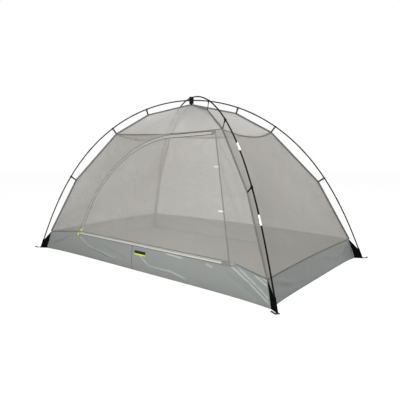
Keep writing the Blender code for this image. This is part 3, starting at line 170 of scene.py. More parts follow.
CORNERS = {
    "front_left": (-1, -1),
    "front_right": (1, -1),
    "back_right": (1, 1),
    "back_left": (-1, 1),
}
WALLS = {
    "front": ("front_left", "front_right"),
    "right": ("front_right", "back_right"),
    "back": ("back_right", "back_left"),
    "left": ("back_left", "front_left"),
}

CORNER_REACH = math.hypot(TUB_HALF_LENGTH, TUB_HALF_WIDTH)
DIAGONAL_X = TUB_HALF_LENGTH / CORNER_REACH
DIAGONAL_Y = TUB_HALF_WIDTH / CORNER_REACH
FOOT_REACH = CORNER_REACH + FOOT_OUTSET
RIDGE = [
    (CORNER_REACH - TUB_CORNER_LEAN, TUB_CORNER_HEIGHT),
    (0.9454, 0.5669),
    (0.5957, HIGH_BEND_HEIGHT),
    (0.337, 1.0716),
    (0.0, ROOF_HEIGHT),
]
POCKET_RADIUS = POLE_RADIUS + POLE_CLEARANCE + POCKET_WALL
LOW_POLE_HEIGHT = ROOF_HEIGHT + HUB_STRAP_HEIGHT
HIGH_POLE_HEIGHT = LOW_POLE_HEIGHT + HUB_CROSSING_RISE
CLIP_OUTER_RADIUS = POLE_RADIUS + POLE_CLEARANCE + CLIP_WALL
ARCH_LEFT_X = ARCH_CENTRE_X - ARCH_RADIUS
ARCH_TOP_SLOPE = ARCH_CENTRE_SLOPE + ARCH_RADIUS
ZIP_START_X = ARCH_LEFT_X - ZIP_RUN_OUT
ZIP_END_X = HINGE_SILL_X + ZIP_RUN_OUT
ZIP_LEVEL = SEAM_GAP + TAPE_THICKNESS / 2
NOTCH = SLIDER_HALF_WIDTH + HINGE_GAP
UP = Vector((0.0, 0.0, 1.0))


# The tent's own geometry, the same as the solids'


def lerp(start, end, share):
    return start + (end - start) * share


def spread(start, end, count):
    """So many equal steps from start to end, with both ends."""
    return [lerp(start, end, k / count) for k in range(count + 1)]


def polar(radius, angle, centre=(0.0, 0.0)):
    return (centre[0] + radius * math.cos(angle), centre[1] + radius * math.sin(angle))


def frame_matrix(origin, x_axis, y_axis, z_axis):
    columns = Matrix((x_axis, y_axis, z_axis)).transposed().to_4x4()
    columns.translation = origin
    return columns


def diagonal(corner):
    side_x, side_y = CORNERS[corner]
    return Vector((side_x * DIAGONAL_X, side_y * DIAGONAL_Y, 0.0))


def ridge_run(first, last):
    """Start, bend and end of a part of the ridge, and the lengths of its two straights."""
    start, middle, end = (Vector(RIDGE[i]) for i in (first, (first + last) // 2, last))
    return start, middle, end, (middle - start).length, (end - middle).length


def ridge_place(share, first=0, last=2):
    """A share of the way along a part of the ridge, as (reach, height)."""
    start, middle, end, length, rest = ridge_run(first, last)
    travel = share * (length + rest)
    if travel <= length:
        return start.lerp(middle, travel / length)
    return middle.lerp(end, (travel - length) / rest)


def middle_share(first=0, last=2):
    """The share at which a part of the ridge bends."""
    *_, length, rest = ridge_run(first, last)
    return length / (length + rest)


def height_share(height):
    """How far up a height is, from the tub's corners to the roof's seam."""
    return (height - RIDGE[0][1]) / (RIDGE[2][1] - RIDGE[0][1])


def ridge_point(corner, share, first=0, last=2):
    reach, height = ridge_place(share, first, last)
    return diagonal(corner) * reach + UP * height


def wall_middle(side, height):
    """The middle of one wall's plane at a height."""
    first, second = WALLS[side]
    low = (ridge_point(first, 0.0) + ridge_point(second, 0.0)) / 2
    high = (ridge_point(first, 1.0) + ridge_point(second, 1.0)) / 2
    return low.lerp(high, (height - low.z) / (high.z - low.z))


def seam_middle(side):
    low = wall_middle(side, RIDGE[0][1])
    high = wall_middle(side, RIDGE[2][1])
    return high + (low - high).normalized() * ROOF_SAG[side]


def tub_top_middle(side):
    height = TUB_BACK_HEIGHT if side == "back" else TUB_SIDE_HEIGHT
    return wall_middle(side, height)


def hung(first, second, middle, cross):
    """A place on the curve from first to second through middle. Cross runs from -1 to 1."""
    ends = first.lerp(second, (cross + 1) / 2)
    return ends + (middle - (first + second) / 2) * (1 - cross * cross)


def seam_point(side, cross):
    first, second = WALLS[side]
    return hung(ridge_point(first, 1.0), ridge_point(second, 1.0), seam_middle(side), cross)


def tub_edge_point(side, cross):
    first, second = WALLS[side]
    return hung(ridge_point(first, 0.0), ridge_point(second, 0.0), tub_top_middle(side), cross)


FRONT_LOW = wall_middle("front", RIDGE[0][1])
SLOPE_UP = (wall_middle("front", RIDGE[2][1]) - FRONT_LOW).normalized()
FRONT_OUT = Vector((1.0, 0.0, 0.0)).cross(SLOPE_UP)


def front_point(x, slope, out=0.0):
    """A place on the front wall's plane: along it, up its slope and out from it."""
    return FRONT_LOW + Vector((x, 0.0, 0.0)) + SLOPE_UP * slope + FRONT_OUT * out


def door_matrix(x, slope, out, turn):
    """Axes that lie in the front wall, turned about its normal."""
    base = frame_matrix(front_point(x, slope, out), Vector((1, 0, 0)), SLOPE_UP, FRONT_OUT)
    return base @ Matrix.Rotation(turn, 4, "Z")


def hinge_x(slope):
    """Where the door's hinge seam is at a height up the front wall."""
    share = (slope - ZIP_SILL) / (HINGE_TOP_SLOPE - ZIP_SILL)
    return lerp(HINGE_SILL_X, HINGE_TOP_X, share)


def arch_line(offset, steps, start_slope, end_x=ARCH_TAIL_X):
    """The arched zip's line, or one beside it, from the sill over the top to its straight tail."""
    centre = (ARCH_CENTRE_X, ARCH_CENTRE_SLOPE)
    line = []
    if start_slope < ARCH_CENTRE_SLOPE:
        line.append((ARCH_LEFT_X - offset, start_slope))
        first = math.pi
    else:
        first = math.pi - math.asin((start_slope - ARCH_CENTRE_SLOPE) / ARCH_RADIUS)
    line += [polar(ARCH_RADIUS + offset, angle, centre) for angle in spread(first, math.pi / 2, steps)]
    rise = ARCH_TAIL_RISE * (end_x - ARCH_CENTRE_X) / (ARCH_TAIL_X - ARCH_CENTRE_X)
    line.append((end_x, ARCH_TOP_SLOPE + rise + offset))
    return line


def half_pole(run, rise, shares):
    """Half a sprung pole as (reach, drop) from its apex, and the angle of its foot."""
    steps = 960

    def trace(end_angle):
        places = [(0.0, 0.0)]
        for i in range(steps):
            share = (i + 0.5) / steps
            sprung = POLE_BEND_SHARE * math.sin(math.pi / 2 * share)
            angle = end_angle * ((1 - POLE_BEND_SHARE) * share + sprung)
            reach, drop = places[-1]
            places.append((reach + math.cos(angle) / steps, drop + math.sin(angle) / steps))
        return places

    low, high = 0.1, 2.6
    for _ in range(40):
        angle = (low + high) / 2
        reach, drop = trace(angle)[-1]
        if reach <= 0 or drop / reach > rise / run:
            high = angle
        else:
            low = angle
    places = trace(angle)
    length = run / places[-1][0]
    result = []
    for share in shares:
        index = min(int(share * steps), steps - 1)
        part = share * steps - index
        result.append(
            [length * lerp(places[index][k], places[index + 1][k], part) for k in range(2)]
        )
    return result, angle


class PolePath:
    """A pole's centre line from foot to foot, with so many straight runs per section."""

    def __init__(self, start_corner, end_corner, apex_height, segments):
        self.across = diagonal(start_corner).cross(UP)
        count = SECTIONS_PER_HALF * segments
        shares = [(k + 0.5) / count for k in range(count)] + [1.0]
        foot_height = 0.0
        for _ in range(4):
            places, foot_angle = half_pole(FOOT_REACH, apex_height - foot_height, shares)
            stand_off = (POCKET_FLOOR + POLE_CLEARANCE) * math.sin(foot_angle)
            foot_height = stand_off + POCKET_RADIUS * math.cos(foot_angle) + SEAM_GAP
        halves = []
        for corner in (start_corner, end_corner):
            halves.append(
                [diagonal(corner) * reach + UP * (apex_height - drop) for reach, drop in places]
            )
        self.points = halves[0][::-1] + halves[1]
        self.arc = [0.0]
        for first, second in zip(self.points, self.points[1:]):
            self.arc.append(self.arc[-1] + (second - first).length)
        self.length = self.arc[-1]

    def segment(self, arc):
        for index in range(len(self.arc) - 1):
            if arc < self.arc[index + 1]:
                return index
        return len(self.arc) - 2

    def point(self, arc):
        index = self.segment(arc)
        share = (arc - self.arc[index]) / (self.arc[index + 1] - self.arc[index])
        return self.points[index].lerp(self.points[index + 1], share)

    def tangent(self, arc):
        index = self.segment(arc)
        return (self.points[index + 1] - self.points[index]).normalized()

    def nearest(self, place):
        best = None
        for index in range(len(self.points) - 1):
            start, end = self.points[index], self.points[index + 1]
            run = end - start
            share = max(0.0, min(1.0, (place - start).dot(run) / run.length_squared))
            gap = (place - start.lerp(end, share)).length
            if best is None or gap < best[0]:
                best = (gap, self.arc[index] + share * run.length)
        return best[1]


POLES = {
    "low": ("front_left", "back_right", LOW_POLE_HEIGHT),
    "high": ("front_right", "back_left", HIGH_POLE_HEIGHT),
}
CORNER_POLE = {
    "front_left": ("low", True),
    "back_right": ("low", False),
    "front_right": ("high", True),
    "back_left": ("high", False),
}
COARSE_PATHS = {name: PolePath(*ends, 8) for name, ends in POLES.items()}


# Mesh makers


def new_object(name, data):
    """An object in the scene with this data."""
    item = bpy.data.objects.new(name, data)
    bpy.context.scene.collection.objects.link(item)
    return item


def finish_piece(name, mesh, finish, body="tent", nodes=()):
    """The mesh as a named piece with its finishes, on its body and in place of CAD nodes."""
    mesh.name = name
    item = new_object(name, mesh)
    for part in finish if isinstance(finish, tuple) else (finish,):
        mesh.materials.append(surface(part))
    if body:
        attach(item, body)
    if nodes:
        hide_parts(*nodes)
    return item


def mesh_of(verts, faces, uvs, sharp=None):
    """A smooth mesh with one uv per vertex, in metres along the cloth."""
    mesh = bpy.data.meshes.new("piece")
    mesh.from_pydata([tuple(map(float, vert)) for vert in verts], [], faces)
    layer = mesh.uv_layers.new(name="cloth")
    loops = np.zeros(len(mesh.loops), dtype=int)
    mesh.loops.foreach_get("vertex_index", loops)
    layer.data.foreach_set("uv", np.asarray(uvs, dtype=float)[loops].ravel())
    mesh.shade_smooth()
    if sharp:
        mesh.set_sharp_from_angle(angle=math.radians(sharp))
    mesh.update()
    return mesh


def edit_mesh(mesh, change):
    """Changes a mesh by way of bmesh."""
    shape = bmesh.new()
    shape.from_mesh(mesh)
    change(shape)
    shape.to_mesh(mesh)
    shape.free()


def cloth_lengths(grid):
    """Each grid point's distance along its row and up its column."""
    along = np.linalg.norm(np.diff(grid, axis=1), axis=2)
    along = np.concatenate([np.zeros((grid.shape[0], 1)), np.cumsum(along, axis=1)], axis=1)
    along -= along[:, grid.shape[1] // 2][:, None]
    up = np.linalg.norm(np.diff(grid, axis=0), axis=2)
    up = np.concatenate([np.zeros((1, grid.shape[1])), np.cumsum(up, axis=0)], axis=0)
    return np.stack([along, up], axis=2)


def patch_mesh(grids, uvs=None):
    """One mesh of several gridded patches."""
    verts, faces, maps = [], [], []
    for index, grid in enumerate(grids):
        rows, columns = grid.shape[:2]
        base = len(verts)
        verts.extend(grid.reshape(-1, 3))
        lengths = uvs[index] if uvs is not None else cloth_lengths(grid)
        maps.extend(lengths.reshape(-1, 2))
        for r in range(rows - 1):
            for c in range(columns - 1):
                a = base + r * columns + c
                faces.append((a, a + 1, a + columns + 1, a + columns))
    return mesh_of(verts, faces, maps)


def sweep_mesh(rings, sharp=60, loop=False):
    """A skin over rings of equal count. The uv runs along the sweep and round the ring."""
    rings = [np.array([tuple(point) for point in ring], dtype=float) for ring in rings]
    count, last = len(rings[0]), len(rings) - 1
    around = np.linalg.norm(rings[0] - np.roll(rings[0], 1, axis=0), axis=1)
    around[0] = 0.0
    around = np.cumsum(around)
    travel = [0.0]
    for first, second in zip(rings, rings[1:]):
        step = np.linalg.norm(second.mean(axis=0) - first.mean(axis=0))
        travel.append(travel[-1] + float(step))
    uvs = [(distance, width) for distance in travel for width in around]
    faces = []
    for k in range(len(rings) if loop else last):
        here, after = k * count, (k + 1) % len(rings) * count
        for j in range(count):
            following = (j + 1) % count
            faces.append((here + j, here + following, after + following, after + j))
    if not loop:
        faces.append(tuple(range(count))[::-1])
        faces.append(tuple(last * count + j for j in range(count)))
    mesh = mesh_of(np.concatenate(rings), faces, uvs, sharp)
    edit_mesh(mesh, lambda shape: bmesh.ops.recalc_face_normals(shape, faces=shape.faces))
    return mesh


def tube_rings(centres, radii, side, sides=16):
    """Rings round a run of centres. Side is a direction across the run."""
    rings = []
    for index, centre in enumerate(centres):
        before = centres[max(index - 1, 0)]
        after = centres[min(index + 1, len(centres) - 1)]
        run = Vector(after) - Vector(before)
        run = run.normalized() if run.length > 1e-9 else UP
        first = (side - run * side.dot(run)).normalized()
        second = run.cross(first)
        radius = radii[index] if hasattr(radii, "__len__") else radii
        turns = [polar(radius, 2 * math.pi * k / sides) for k in range(sides)]
        rings.append([Vector(centre) + first * x + second * y for x, y in turns])
    return rings


def band_rings(near, far, normals, thickness, crown=0.0):
    """Rings of a flat band between two edge lines, a little thicker in its middle."""
    rings = []
    for a, b, n in zip(near, far, normals):
        a, b, n = Vector(a), Vector(b), Vector(n)
        across = (b - a) * 0.12
        edge = n * (thickness * 0.2)
        top = n * (thickness / 2 + crown)
        half = [(a, edge), (a + across, top), (b - across, top), (b, edge)]
        rings.append([place + up for place, up in half] + [place - up for place, up in half[::-1]])
    return rings


def joined(meshes):
    """Several meshes as one, keeping each one's uvs."""
    shape = bmesh.new()
    for mesh in meshes:
        shape.from_mesh(mesh)
    whole = bpy.data.meshes.new("piece")
    shape.to_mesh(whole)
    shape.free()
    for mesh in meshes:
        bpy.data.meshes.remove(mesh)
    return whole


def border_distance(grid):
    """Each grid point's distance from the border, worked out for so many points at a time."""
    edge = np.concatenate([grid[0], grid[-1], grid[:, 0], grid[:, -1]])
    flat = grid.reshape(-1, 3)
    lot = 400
    nearest = []
    for start in range(0, len(flat), lot):
        gaps = np.linalg.norm(flat[start : start + lot, None, :] - edge[None, :, :], axis=2)
        nearest.append(gaps.min(axis=1))
    return np.concatenate(nearest).reshape(grid.shape[:2])


def smooth_share(values, low, high):
    """Rises smoothly from nothing at low to one at high."""
    share = np.clip((values - low) / (high - low), 0.0, 1.0)
    return share * share * (3 - 2 * share)


def unit_rows(rows):
    return rows / (np.linalg.norm(rows, axis=-1, keepdims=True) + 1e-12)


def grid_normals(grid):
    return unit_rows(np.cross(np.gradient(grid, axis=1), np.gradient(grid, axis=0)))


def outward_normals(grid):
    """The grid's normals, turned so that they point away from the tent's middle."""
    normals = grid_normals(grid)
    outward = (normals * (grid - TENT_MIDDLE)).sum(axis=2).mean()
    return normals if outward > 0 else -normals


def edge_frame(edge, after):
    """Along an edge of gridded cloth: the way into the cloth, and its normal."""
    inward = unit_rows(after - edge)
    return inward, unit_rows(np.cross(np.gradient(edge, axis=0), inward))


def noise_at(places):
    """Blender's own noise at each place of a grid."""
    return np.array([[noise.noise(Vector(place)) for place in row] for row in places])


def tensioned(grid, pulls, slack, seed, held=0.05, only_out=False, folds=()):
    """The cloth with folds fanning out from where it is pulled, single folds and a little slack."""
    normals = outward_normals(grid)
    mask = smooth_share(border_distance(grid), 0.004, held)
    lift = np.zeros(grid.shape[:2])
    for place, aim, depth, reach in pulls:
        away = grid - np.array(place)
        distance = np.linalg.norm(away, axis=2)
        aim = np.array(aim) / np.linalg.norm(aim)
        angle = np.arctan2((away * np.cross(normals, aim)).sum(axis=2), away @ aim)
        fade = np.exp(-distance / reach) * smooth_share(distance, 0.01, 0.08)
        fade = fade * smooth_share(math.radians(62) - np.abs(angle), 0.0, 0.35)
        lift += depth * np.cos(angle * PULL_RAYS + seed) * fade
    places = grid * 3.1 + seed * np.array([7.3, 1.7, 3.9])
    lift += slack * (noise_at(places) + 0.35 * noise_at(places * 3.3))
    for start, end, width, depth in folds:
        away = grid - np.array(start)
        run = np.array(end) - np.array(start)
        share = (away @ run) / (run @ run)
        gap = np.linalg.norm(away - share[:, :, None] * run, axis=2)
        ends = smooth_share(share, -0.10, 0.22) * smooth_share(1 - share, -0.10, 0.22)
        lift += depth * FOLD_STRENGTH * np.exp(-((gap / width) ** 2)) * ends
    if only_out:
        lift = np.abs(lift)
    return grid + normals * (lift * mask)[:, :, None]


def hem_mesh(edges, width):
    """Flat hems along the edges of gridded cloth, each from its edge line and the next."""
    meshes = []
    for edge, after in edges:
        inward, normal = edge_frame(edge, after)
        if (normal * (edge - TENT_MIDDLE)).sum() < 0:
            normal = -normal
        raised = edge + normal * HEM_LIFT
        far = raised + inward * width
        meshes.append(sweep_mesh(band_rings(raised, far, normal, HEM_THICKNESS)))
    return joined(meshes)


# Materials


class Nodes:
    """A short way to write a node tree."""

    def __init__(self, tree):
        self.tree = tree

    def put(self, node, values):
        """Links each input to a socket, or sets it to a value."""
        for key, value in values.items():
            if isinstance(value, bpy.types.NodeSocket):
                self.tree.links.new(value, node.inputs[key])
            else:
                node.inputs[key].default_value = value
        return node

    def add(self, kind, values=None, **settings):
        node = self.tree.nodes.new(kind)
        for key, value in settings.items():
            setattr(node, key, value)
        return self.put(node, values or {})

    def math(self, operation, *values):
        return self.add("ShaderNodeMath", dict(enumerate(values)), operation=operation).outputs[0]

    def mix(self, share, first, second):
        values = {0: share, 6: first, 7: second}
        return self.add("ShaderNodeMix", values, data_type="RGBA").outputs[2]

    def ranged(self, *values):
        values = dict(enumerate(values))
        return self.add("ShaderNodeMapRange", values, interpolation_type="SMOOTHSTEP").outputs[0]

    def cloud(self, place, scale, detail, distortion=0.0):
        values = {"Vector": place, "Scale": scale, "Detail": detail, "Distortion": distortion}
        return self.add("ShaderNodeTexNoise", values).outputs["Fac"]


def cloth_axes(nodes):
    """The cloth's uv, and its parts along the cloth and up it."""
    uv = nodes.add("ShaderNodeUVMap", uv_map="cloth").outputs["UV"]
    parts = nodes.add("ShaderNodeSeparateXYZ", {"Vector": uv}).outputs
    return uv, parts["X"], parts["Y"]


def open_mesh(nodes, given):
    """The knitted holes of the net: how solid it is, and how high the yarn stands."""
    uv, along, up = cloth_axes(nodes)
    turns = nodes.math("DIVIDE", 2 * math.pi, given["Pitch"])
    first = nodes.math("SINE", nodes.math("MULTIPLY", nodes.math("ADD", along, up), turns))
    second = nodes.math("SINE", nodes.math("MULTIPLY", nodes.math("SUBTRACT", along, up), turns))
    yarn = nodes.ranged(nodes.math("MULTIPLY", first, second), -0.6, 0.6, -1.0, 1.0)
    uneven = nodes.math("SUBTRACT", nodes.cloud(uv, 9.0, 2.0), 0.5)
    uneven = nodes.math("MULTIPLY", uneven, given["Unevenness"])
    cover = nodes.math("MULTIPLY_ADD", yarn, given["Swing"], given["Cover"])
    return {"Cover": nodes.math("MULTIPLY_ADD", uneven, 2.0, cover), "Height": yarn}


def plain_weave(nodes, given):
    """Crossing yarns of a tight cloth, and a slow drift in its tone."""
    uv, *ways = cloth_axes(nodes)
    turns = nodes.math("DIVIDE", 2 * math.pi, given["Pitch"])
    waves = [nodes.math("SINE", nodes.math("MULTIPLY", way, turns)) for way in ways]
    height = nodes.math("MAXIMUM", *(nodes.math("ABSOLUTE", wave) for wave in waves))
    tone = nodes.math("SUBTRACT", nodes.cloud(uv, 3.2, 3.0), 0.5)
    return {"Height": height, "Tone": nodes.math("MULTIPLY_ADD", tone, given["Drift"], 1.0)}


def stitch_row(nodes, given):
    """A row of stitches along the cloth, so far from its start across."""
    _, along, up = cloth_axes(nodes)
    beat = nodes.math("FRACT", nodes.math("DIVIDE", along, given["Length"]))
    beat = nodes.math("ABSOLUTE", nodes.math("SUBTRACT", beat, 0.5))
    gap = nodes.math("ABSOLUTE", nodes.math("SUBTRACT", up, given["Across"]))
    gap = nodes.math("DIVIDE", gap, given["Width"])
    dash = nodes.ranged(beat, 0.24, 0.36, 1.0, 0.0)
    row = nodes.ranged(gap, 0.3, 0.8, 1.0, 0.0)
    return {"Stitch": nodes.math("MULTIPLY", dash, row)}


def handling_marks(nodes, given):
    """Fine scuffs on hard pieces, from their place on the object."""
    place = nodes.add("ShaderNodeTexCoord").outputs["Object"]
    marks = nodes.ranged(nodes.cloud(place, given["Scale"], 4.0), 0.45, 0.75, 0.0, 1.0)
    marks = nodes.math("MULTIPLY", marks, given["Strength"])
    return {"Marks": marks, "Grain": nodes.cloud(place, 2600.0, 1.0)}


EFFECTS = {
    "open mesh": (open_mesh, {"Pitch": 0.0014, "Cover": 0.5, "Swing": 0.06, "Unevenness": 0.05}),
    "plain weave": (plain_weave, {"Pitch": 0.0006, "Drift": 0.1}),
    "stitch row": (stitch_row, {"Across": 0.002, "Length": 0.0034, "Width": 0.0008}),
    "handling marks": (handling_marks, {"Scale": 90.0, "Strength": 0.3}),
}
GROUPS = {}


def effect_group(name):
    """The named effect as a node group, made at its first use."""
    if name not in GROUPS:
        maker, inputs = EFFECTS[name]
        tree = bpy.data.node_groups.new(name, "ShaderNodeTree")
        for label, default in inputs.items():
            socket = tree.interface.new_socket(label, in_out="INPUT", socket_type="NodeSocketFloat")
            socket.default_value = default
        nodes = Nodes(tree)
        results = maker(nodes, nodes.add("NodeGroupInput").outputs)
        for label in results:
            tree.interface.new_socket(label, in_out="OUTPUT", socket_type="NodeSocketFloat")
        nodes.add("NodeGroupOutput", results)
        GROUPS[name] = tree
    return GROUPS[name]


def shared(nodes, name, values):
    """The outputs of a shared effect with these inputs."""
    return nodes.add("ShaderNodeGroup", values, node_tree=effect_group(name)).outputs


def new_material(name, roughness, metallic=0.0, specular=0.5):
    material = bpy.data.materials.new(name)
    material.use_nodes = True
    nodes = Nodes(material.node_tree)
    shader = material.node_tree.nodes["Principled BSDF"]
    nodes.put(shader, {"Roughness": roughness, "Metallic": metallic, "Specular IOR Level": specular})
    return material, nodes, shader


def opaque(colour):
    return (*tuple(colour)[:3], 1.0)


def toned(nodes, colour, tone):
    """The colour times a tone near one."""
    if not isinstance(colour, bpy.types.NodeSocket):
        colour = tuple(colour)[:3]
    return nodes.add("ShaderNodeVectorMath", {0: colour, "Scale": tone}, operation="SCALE").outputs[0]


def bumped(nodes, shader, height, distance, strength, after=None):
    """Bumps the shader's surface, on top of an earlier bump if there is one."""
    values = {"Height": height, "Distance": distance, "Strength": strength}
    if after is not None:
        values["Normal"] = after
    normal = nodes.add("ShaderNodeBump", values).outputs["Normal"]
    nodes.put(shader, {"Normal": normal})
    return normal


def net_material(name, colour, cover_share):
    """Open net: its holes close as it is seen more aslant, and light mostly passes it."""
    material, nodes, shader = new_material(name, 0.85, specular=0.1)
    cover = bpy.context.scene.net_tent_sizes.net_cover * cover_share
    mesh = shared(nodes, "open mesh", {"Cover": cover})
    weave = shared(nodes, "plain weave", {"Pitch": 0.0014, "Drift": 0.10})
    slant = nodes.add("ShaderNodeLayerWeight", {"Blend": 0.5}).outputs["Facing"]
    facing = nodes.math("MAXIMUM", nodes.math("SUBTRACT", 1.0, slant), 0.42)
    holes = nodes.math("SUBTRACT", 1.0, mesh["Cover"])
    seen = nodes.math("SUBTRACT", 1.0, nodes.math("POWER", holes, nodes.math("DIVIDE", 1.0, facing)))
    rays = nodes.add("ShaderNodeLightPath").outputs
    lighting = nodes.math("MAXIMUM", rays["Is Shadow Ray"], rays["Is Diffuse Ray"])
    passing = nodes.math("MULTIPLY_ADD", lighting, -0.88, 1.0)
    base = toned(nodes, colour, weave["Tone"])
    nodes.put(shader, {"Base Color": base, "Alpha": nodes.math("MULTIPLY", seen, passing)})
    bumped(nodes, shader, mesh["Height"], 0.0002, 0.4)
    return material


# Mesh attribute that holds the painted highlight along the tub's sharp creases
CREASE_HIGHLIGHTS = "worn_creases"


def cloth_material(name, colour, roughness, drift, crumple, sheen, specular=0.5, inner=None, crease_highlight=None):
    """Woven cloth, its inside face painted lighter to stand in for light, and a painted highlight along the
    creases where the mesh marks them.
    """
    material, nodes, shader = new_material(name, roughness, specular=specular)
    weave = shared(nodes, "plain weave", {"Pitch": 0.0005, "Drift": drift})
    face = opaque(colour)
    # The inside face gets a painted lighter colour, standing in for the light the tub's inside lacks
    if inner is not None:
        behind = nodes.add("ShaderNodeNewGeometry").outputs["Backfacing"]
        face = nodes.mix(behind, face, opaque(inner))
    if crease_highlight is not None:
        # A painted highlight: lighter colour along the creases the mesh marks
        creased = nodes.add("ShaderNodeAttribute", attribute_name=CREASE_HIGHLIGHTS).outputs["Fac"]
        face = nodes.mix(creased, face, opaque(crease_highlight))
    nodes.put(shader, {"Base Color": toned(nodes, face, weave["Tone"]), "Sheen Weight": sheen})
    place = nodes.add("ShaderNodeTexCoord").outputs["Object"]
    normal = bumped(nodes, shader, nodes.cloud(place, 11.0, 4.0, 1.2), crumple, 0.6)
    bumped(nodes, shader, weave["Height"], 0.00015, 0.5, normal)
    return material


def tape_material(name, colour, thread, rows, pitch=0.0011, roughness=0.8, specular=0.25):
    """Woven tape with rows of stitches, each so far across it."""
    material, nodes, shader = new_material(name, roughness, specular=specular)
    weave = shared(nodes, "plain weave", {"Pitch": pitch, "Drift": 0.14})
    stitches = None
    for across in rows:
        row = shared(nodes, "stitch row", {"Across": across})["Stitch"]
        stitches = row if stitches is None else nodes.math("MAXIMUM", stitches, row)
    base = toned(nodes, colour, weave["Tone"])
    if stitches is not None:
        base = nodes.mix(stitches, base, opaque(thread))
    nodes.put(shader, {"Base Color": base})
    normal = bumped(nodes, shader, weave["Height"], 0.0002, 0.5)
    if stitches is not None:
        bumped(nodes, shader, stitches, 0.0006, 0.7, normal)
    return material


def hard_material(name, colour, roughness, metallic, marks, scale, specular=0.5):
    """Moulded, drawn or painted pieces, lighter and duller where they are scuffed."""
    material, nodes, shader = new_material(name, roughness, metallic, specular)
    handled = shared(nodes, "handling marks", {"Scale": scale, "Strength": marks})
    lighter = [min(1.0, part * 1.6 + 0.005) for part in tuple(colour)[:3]]
    nodes.put(shader, {
        "Base Color": nodes.mix(handled["Marks"], opaque(colour), opaque(lighter)),
        "Roughness": nodes.math("MULTIPLY_ADD", handled["Marks"], 0.35, roughness),
    })
    bumped(nodes, shader, handled["Grain"], 0.00004, 0.5)
    return material


def coil_material(name, colour):
    """The zip's spiral: one turn every 1.5 mm."""
    material, nodes, shader = new_material(name, 0.45, specular=0.5)
    _, along, _ = cloth_axes(nodes)
    turn = nodes.math("SINE", nodes.math("MULTIPLY", along, 2 * math.pi / 0.0015))
    tone = nodes.math("MULTIPLY_ADD", turn, 0.16, 0.92)
    nodes.put(shader, {"Base Color": toned(nodes, colour, tone)})
    bumped(nodes, shader, turn, 0.0004, 0.8)
    return material


# What each finish's maker is given: names are colours on the panel
FINISHES = {
    # Roof and door nets are the wall net's yarn painted lighter, standing in for the light on them
    net_material: {"wall net": ("net", 1.0), "roof net": ("roof_net", 1.0), "door net": ("door_net", 0.96)},
    cloth_material: {
        # Tub cloth: its inside colour is painted lighter for light, its crease colour is a painted highlight
        "tub cloth": ("tub", 0.38, 0.08, 0.003, 0.0, 0.12, "tub_inside", "tub_creases"),
        "groundsheet": ("ground", 0.6, 0.10, 0.010, 0.1),
    },
    tape_material: {
        "hem": ("hem", "thread", (0.0015, 0.0075)),
        "ridge tape": ("ridge", "thread", (0.003, 0.007)),
        "strap webbing": ("strap", "strap", (), 0.0016, 0.9, 0.08),
        "zip patch": ("patch", "hem", (), 0.0009),
        "zip edging": ("edging", "hem", (), 0.0009),
        "zip tape": ("zip_tape", "thread", (0.006,), 0.0008),
        "sill tape": ("sill_tape", "thread", (0.006,), 0.0008),
        "gusset cloth": ("gusset", "gusset", (), 0.0014, 0.9, 0.0),
        "gusset piping": ("gusset", "gusset", (), 0.0010, 0.8, 0.02),
        "tie webbing": ("tie", "thread", (0.002, 0.009), 0.0013),
        "label black": ("label", "label", (), 0.0005, 0.7, 0.08),
        "label band": ("pull", "pull", (), 0.0005, 0.6, 0.1),
    },
    coil_material: {"zip coil": ("coil",)},
    hard_material: {
        "fibreglass": ("pole", 0.7, 0.0, 0.25, 60.0, 0.02),
        "bright ferrule": ("ferrule", 0.32, 1.0, 0.25, 160.0),
        # A ferrule painted bright, standing in for its highlight
        "dark ferrule": ("dark_ferrule", 0.5, 0.0, 0.25, 160.0, 0.2),
        "elastic": ("strap", 0.9, 0.0, 0.1, 160.0),
        "moulded black": ("clip", 0.42, 0.0, 0.35, 140.0, 0.0001),
        "peg wire": ("peg", 0.55, 0.0, 0.3, 200.0, 0.15),
        "slider metal": ("slider", 0.4, 0.8, 0.4, 300.0),
        "pull tab": ("pull", 0.6, 0.0, 0.1, 300.0, 0.1),
        "toggle": ("toggle", 0.45, 0.0, 0.2, 300.0),
    },
}
MATERIALS = {}


def surface(name):
    """The named finish, made once from the panel's colours."""
    if name not in MATERIALS:
        colours = bpy.context.scene.net_tent_colours
        for maker, rows in FINISHES.items():
            if name in rows:
                given = [getattr(colours, value) if isinstance(value, str) else value for value in rows[name]]
                MATERIALS[name] = maker(name, *given)
    return MATERIALS[name]


# Tub


def tub_columns():
    """The wall's columns from its front left corner round: place on the floor, top and side."""
    corner_x = ridge_point("front_right", 0.0).x
    first_stub = ZIP_START_X - NOTCH_RUN
    last_stub = ZIP_END_X + NOTCH_RUN
    sill = ZIP_SILL - CLOTH_EDGE
    end = ZIP_SILL + NOTCH
    left, middle, right = TUB_FRONT_COLUMNS
    columns = []
    for start, stop, count, extra in (
        ((-corner_x, 0.0), (first_stub, end), left, 1),
        ((first_stub + NOTCH_RUN / 2, sill), (last_stub - NOTCH_RUN / 2, sill), middle, 1),
        ((last_stub, end), (corner_x, 0.0), right, 0),
    ):
        for k in range(count + extra):
            x, slope = (lerp(a, b, k / count) for a, b in zip(start, stop))
            low = Vector((x * TUB_HALF_LENGTH / corner_x, -TUB_HALF_WIDTH, 0.0))
            columns.append((low, front_point(x, slope), "front"))
    for side, count in (("right", 64), ("back", 90), ("left", 64)):
        first, second = (floor_corner(corner) for corner in WALLS[side])
        for k in range(count):
            top = tub_edge_point(side, 2 * k / count - 1)
            columns.append((first.lerp(second, k / count), top, side))
    return columns + columns[:1]


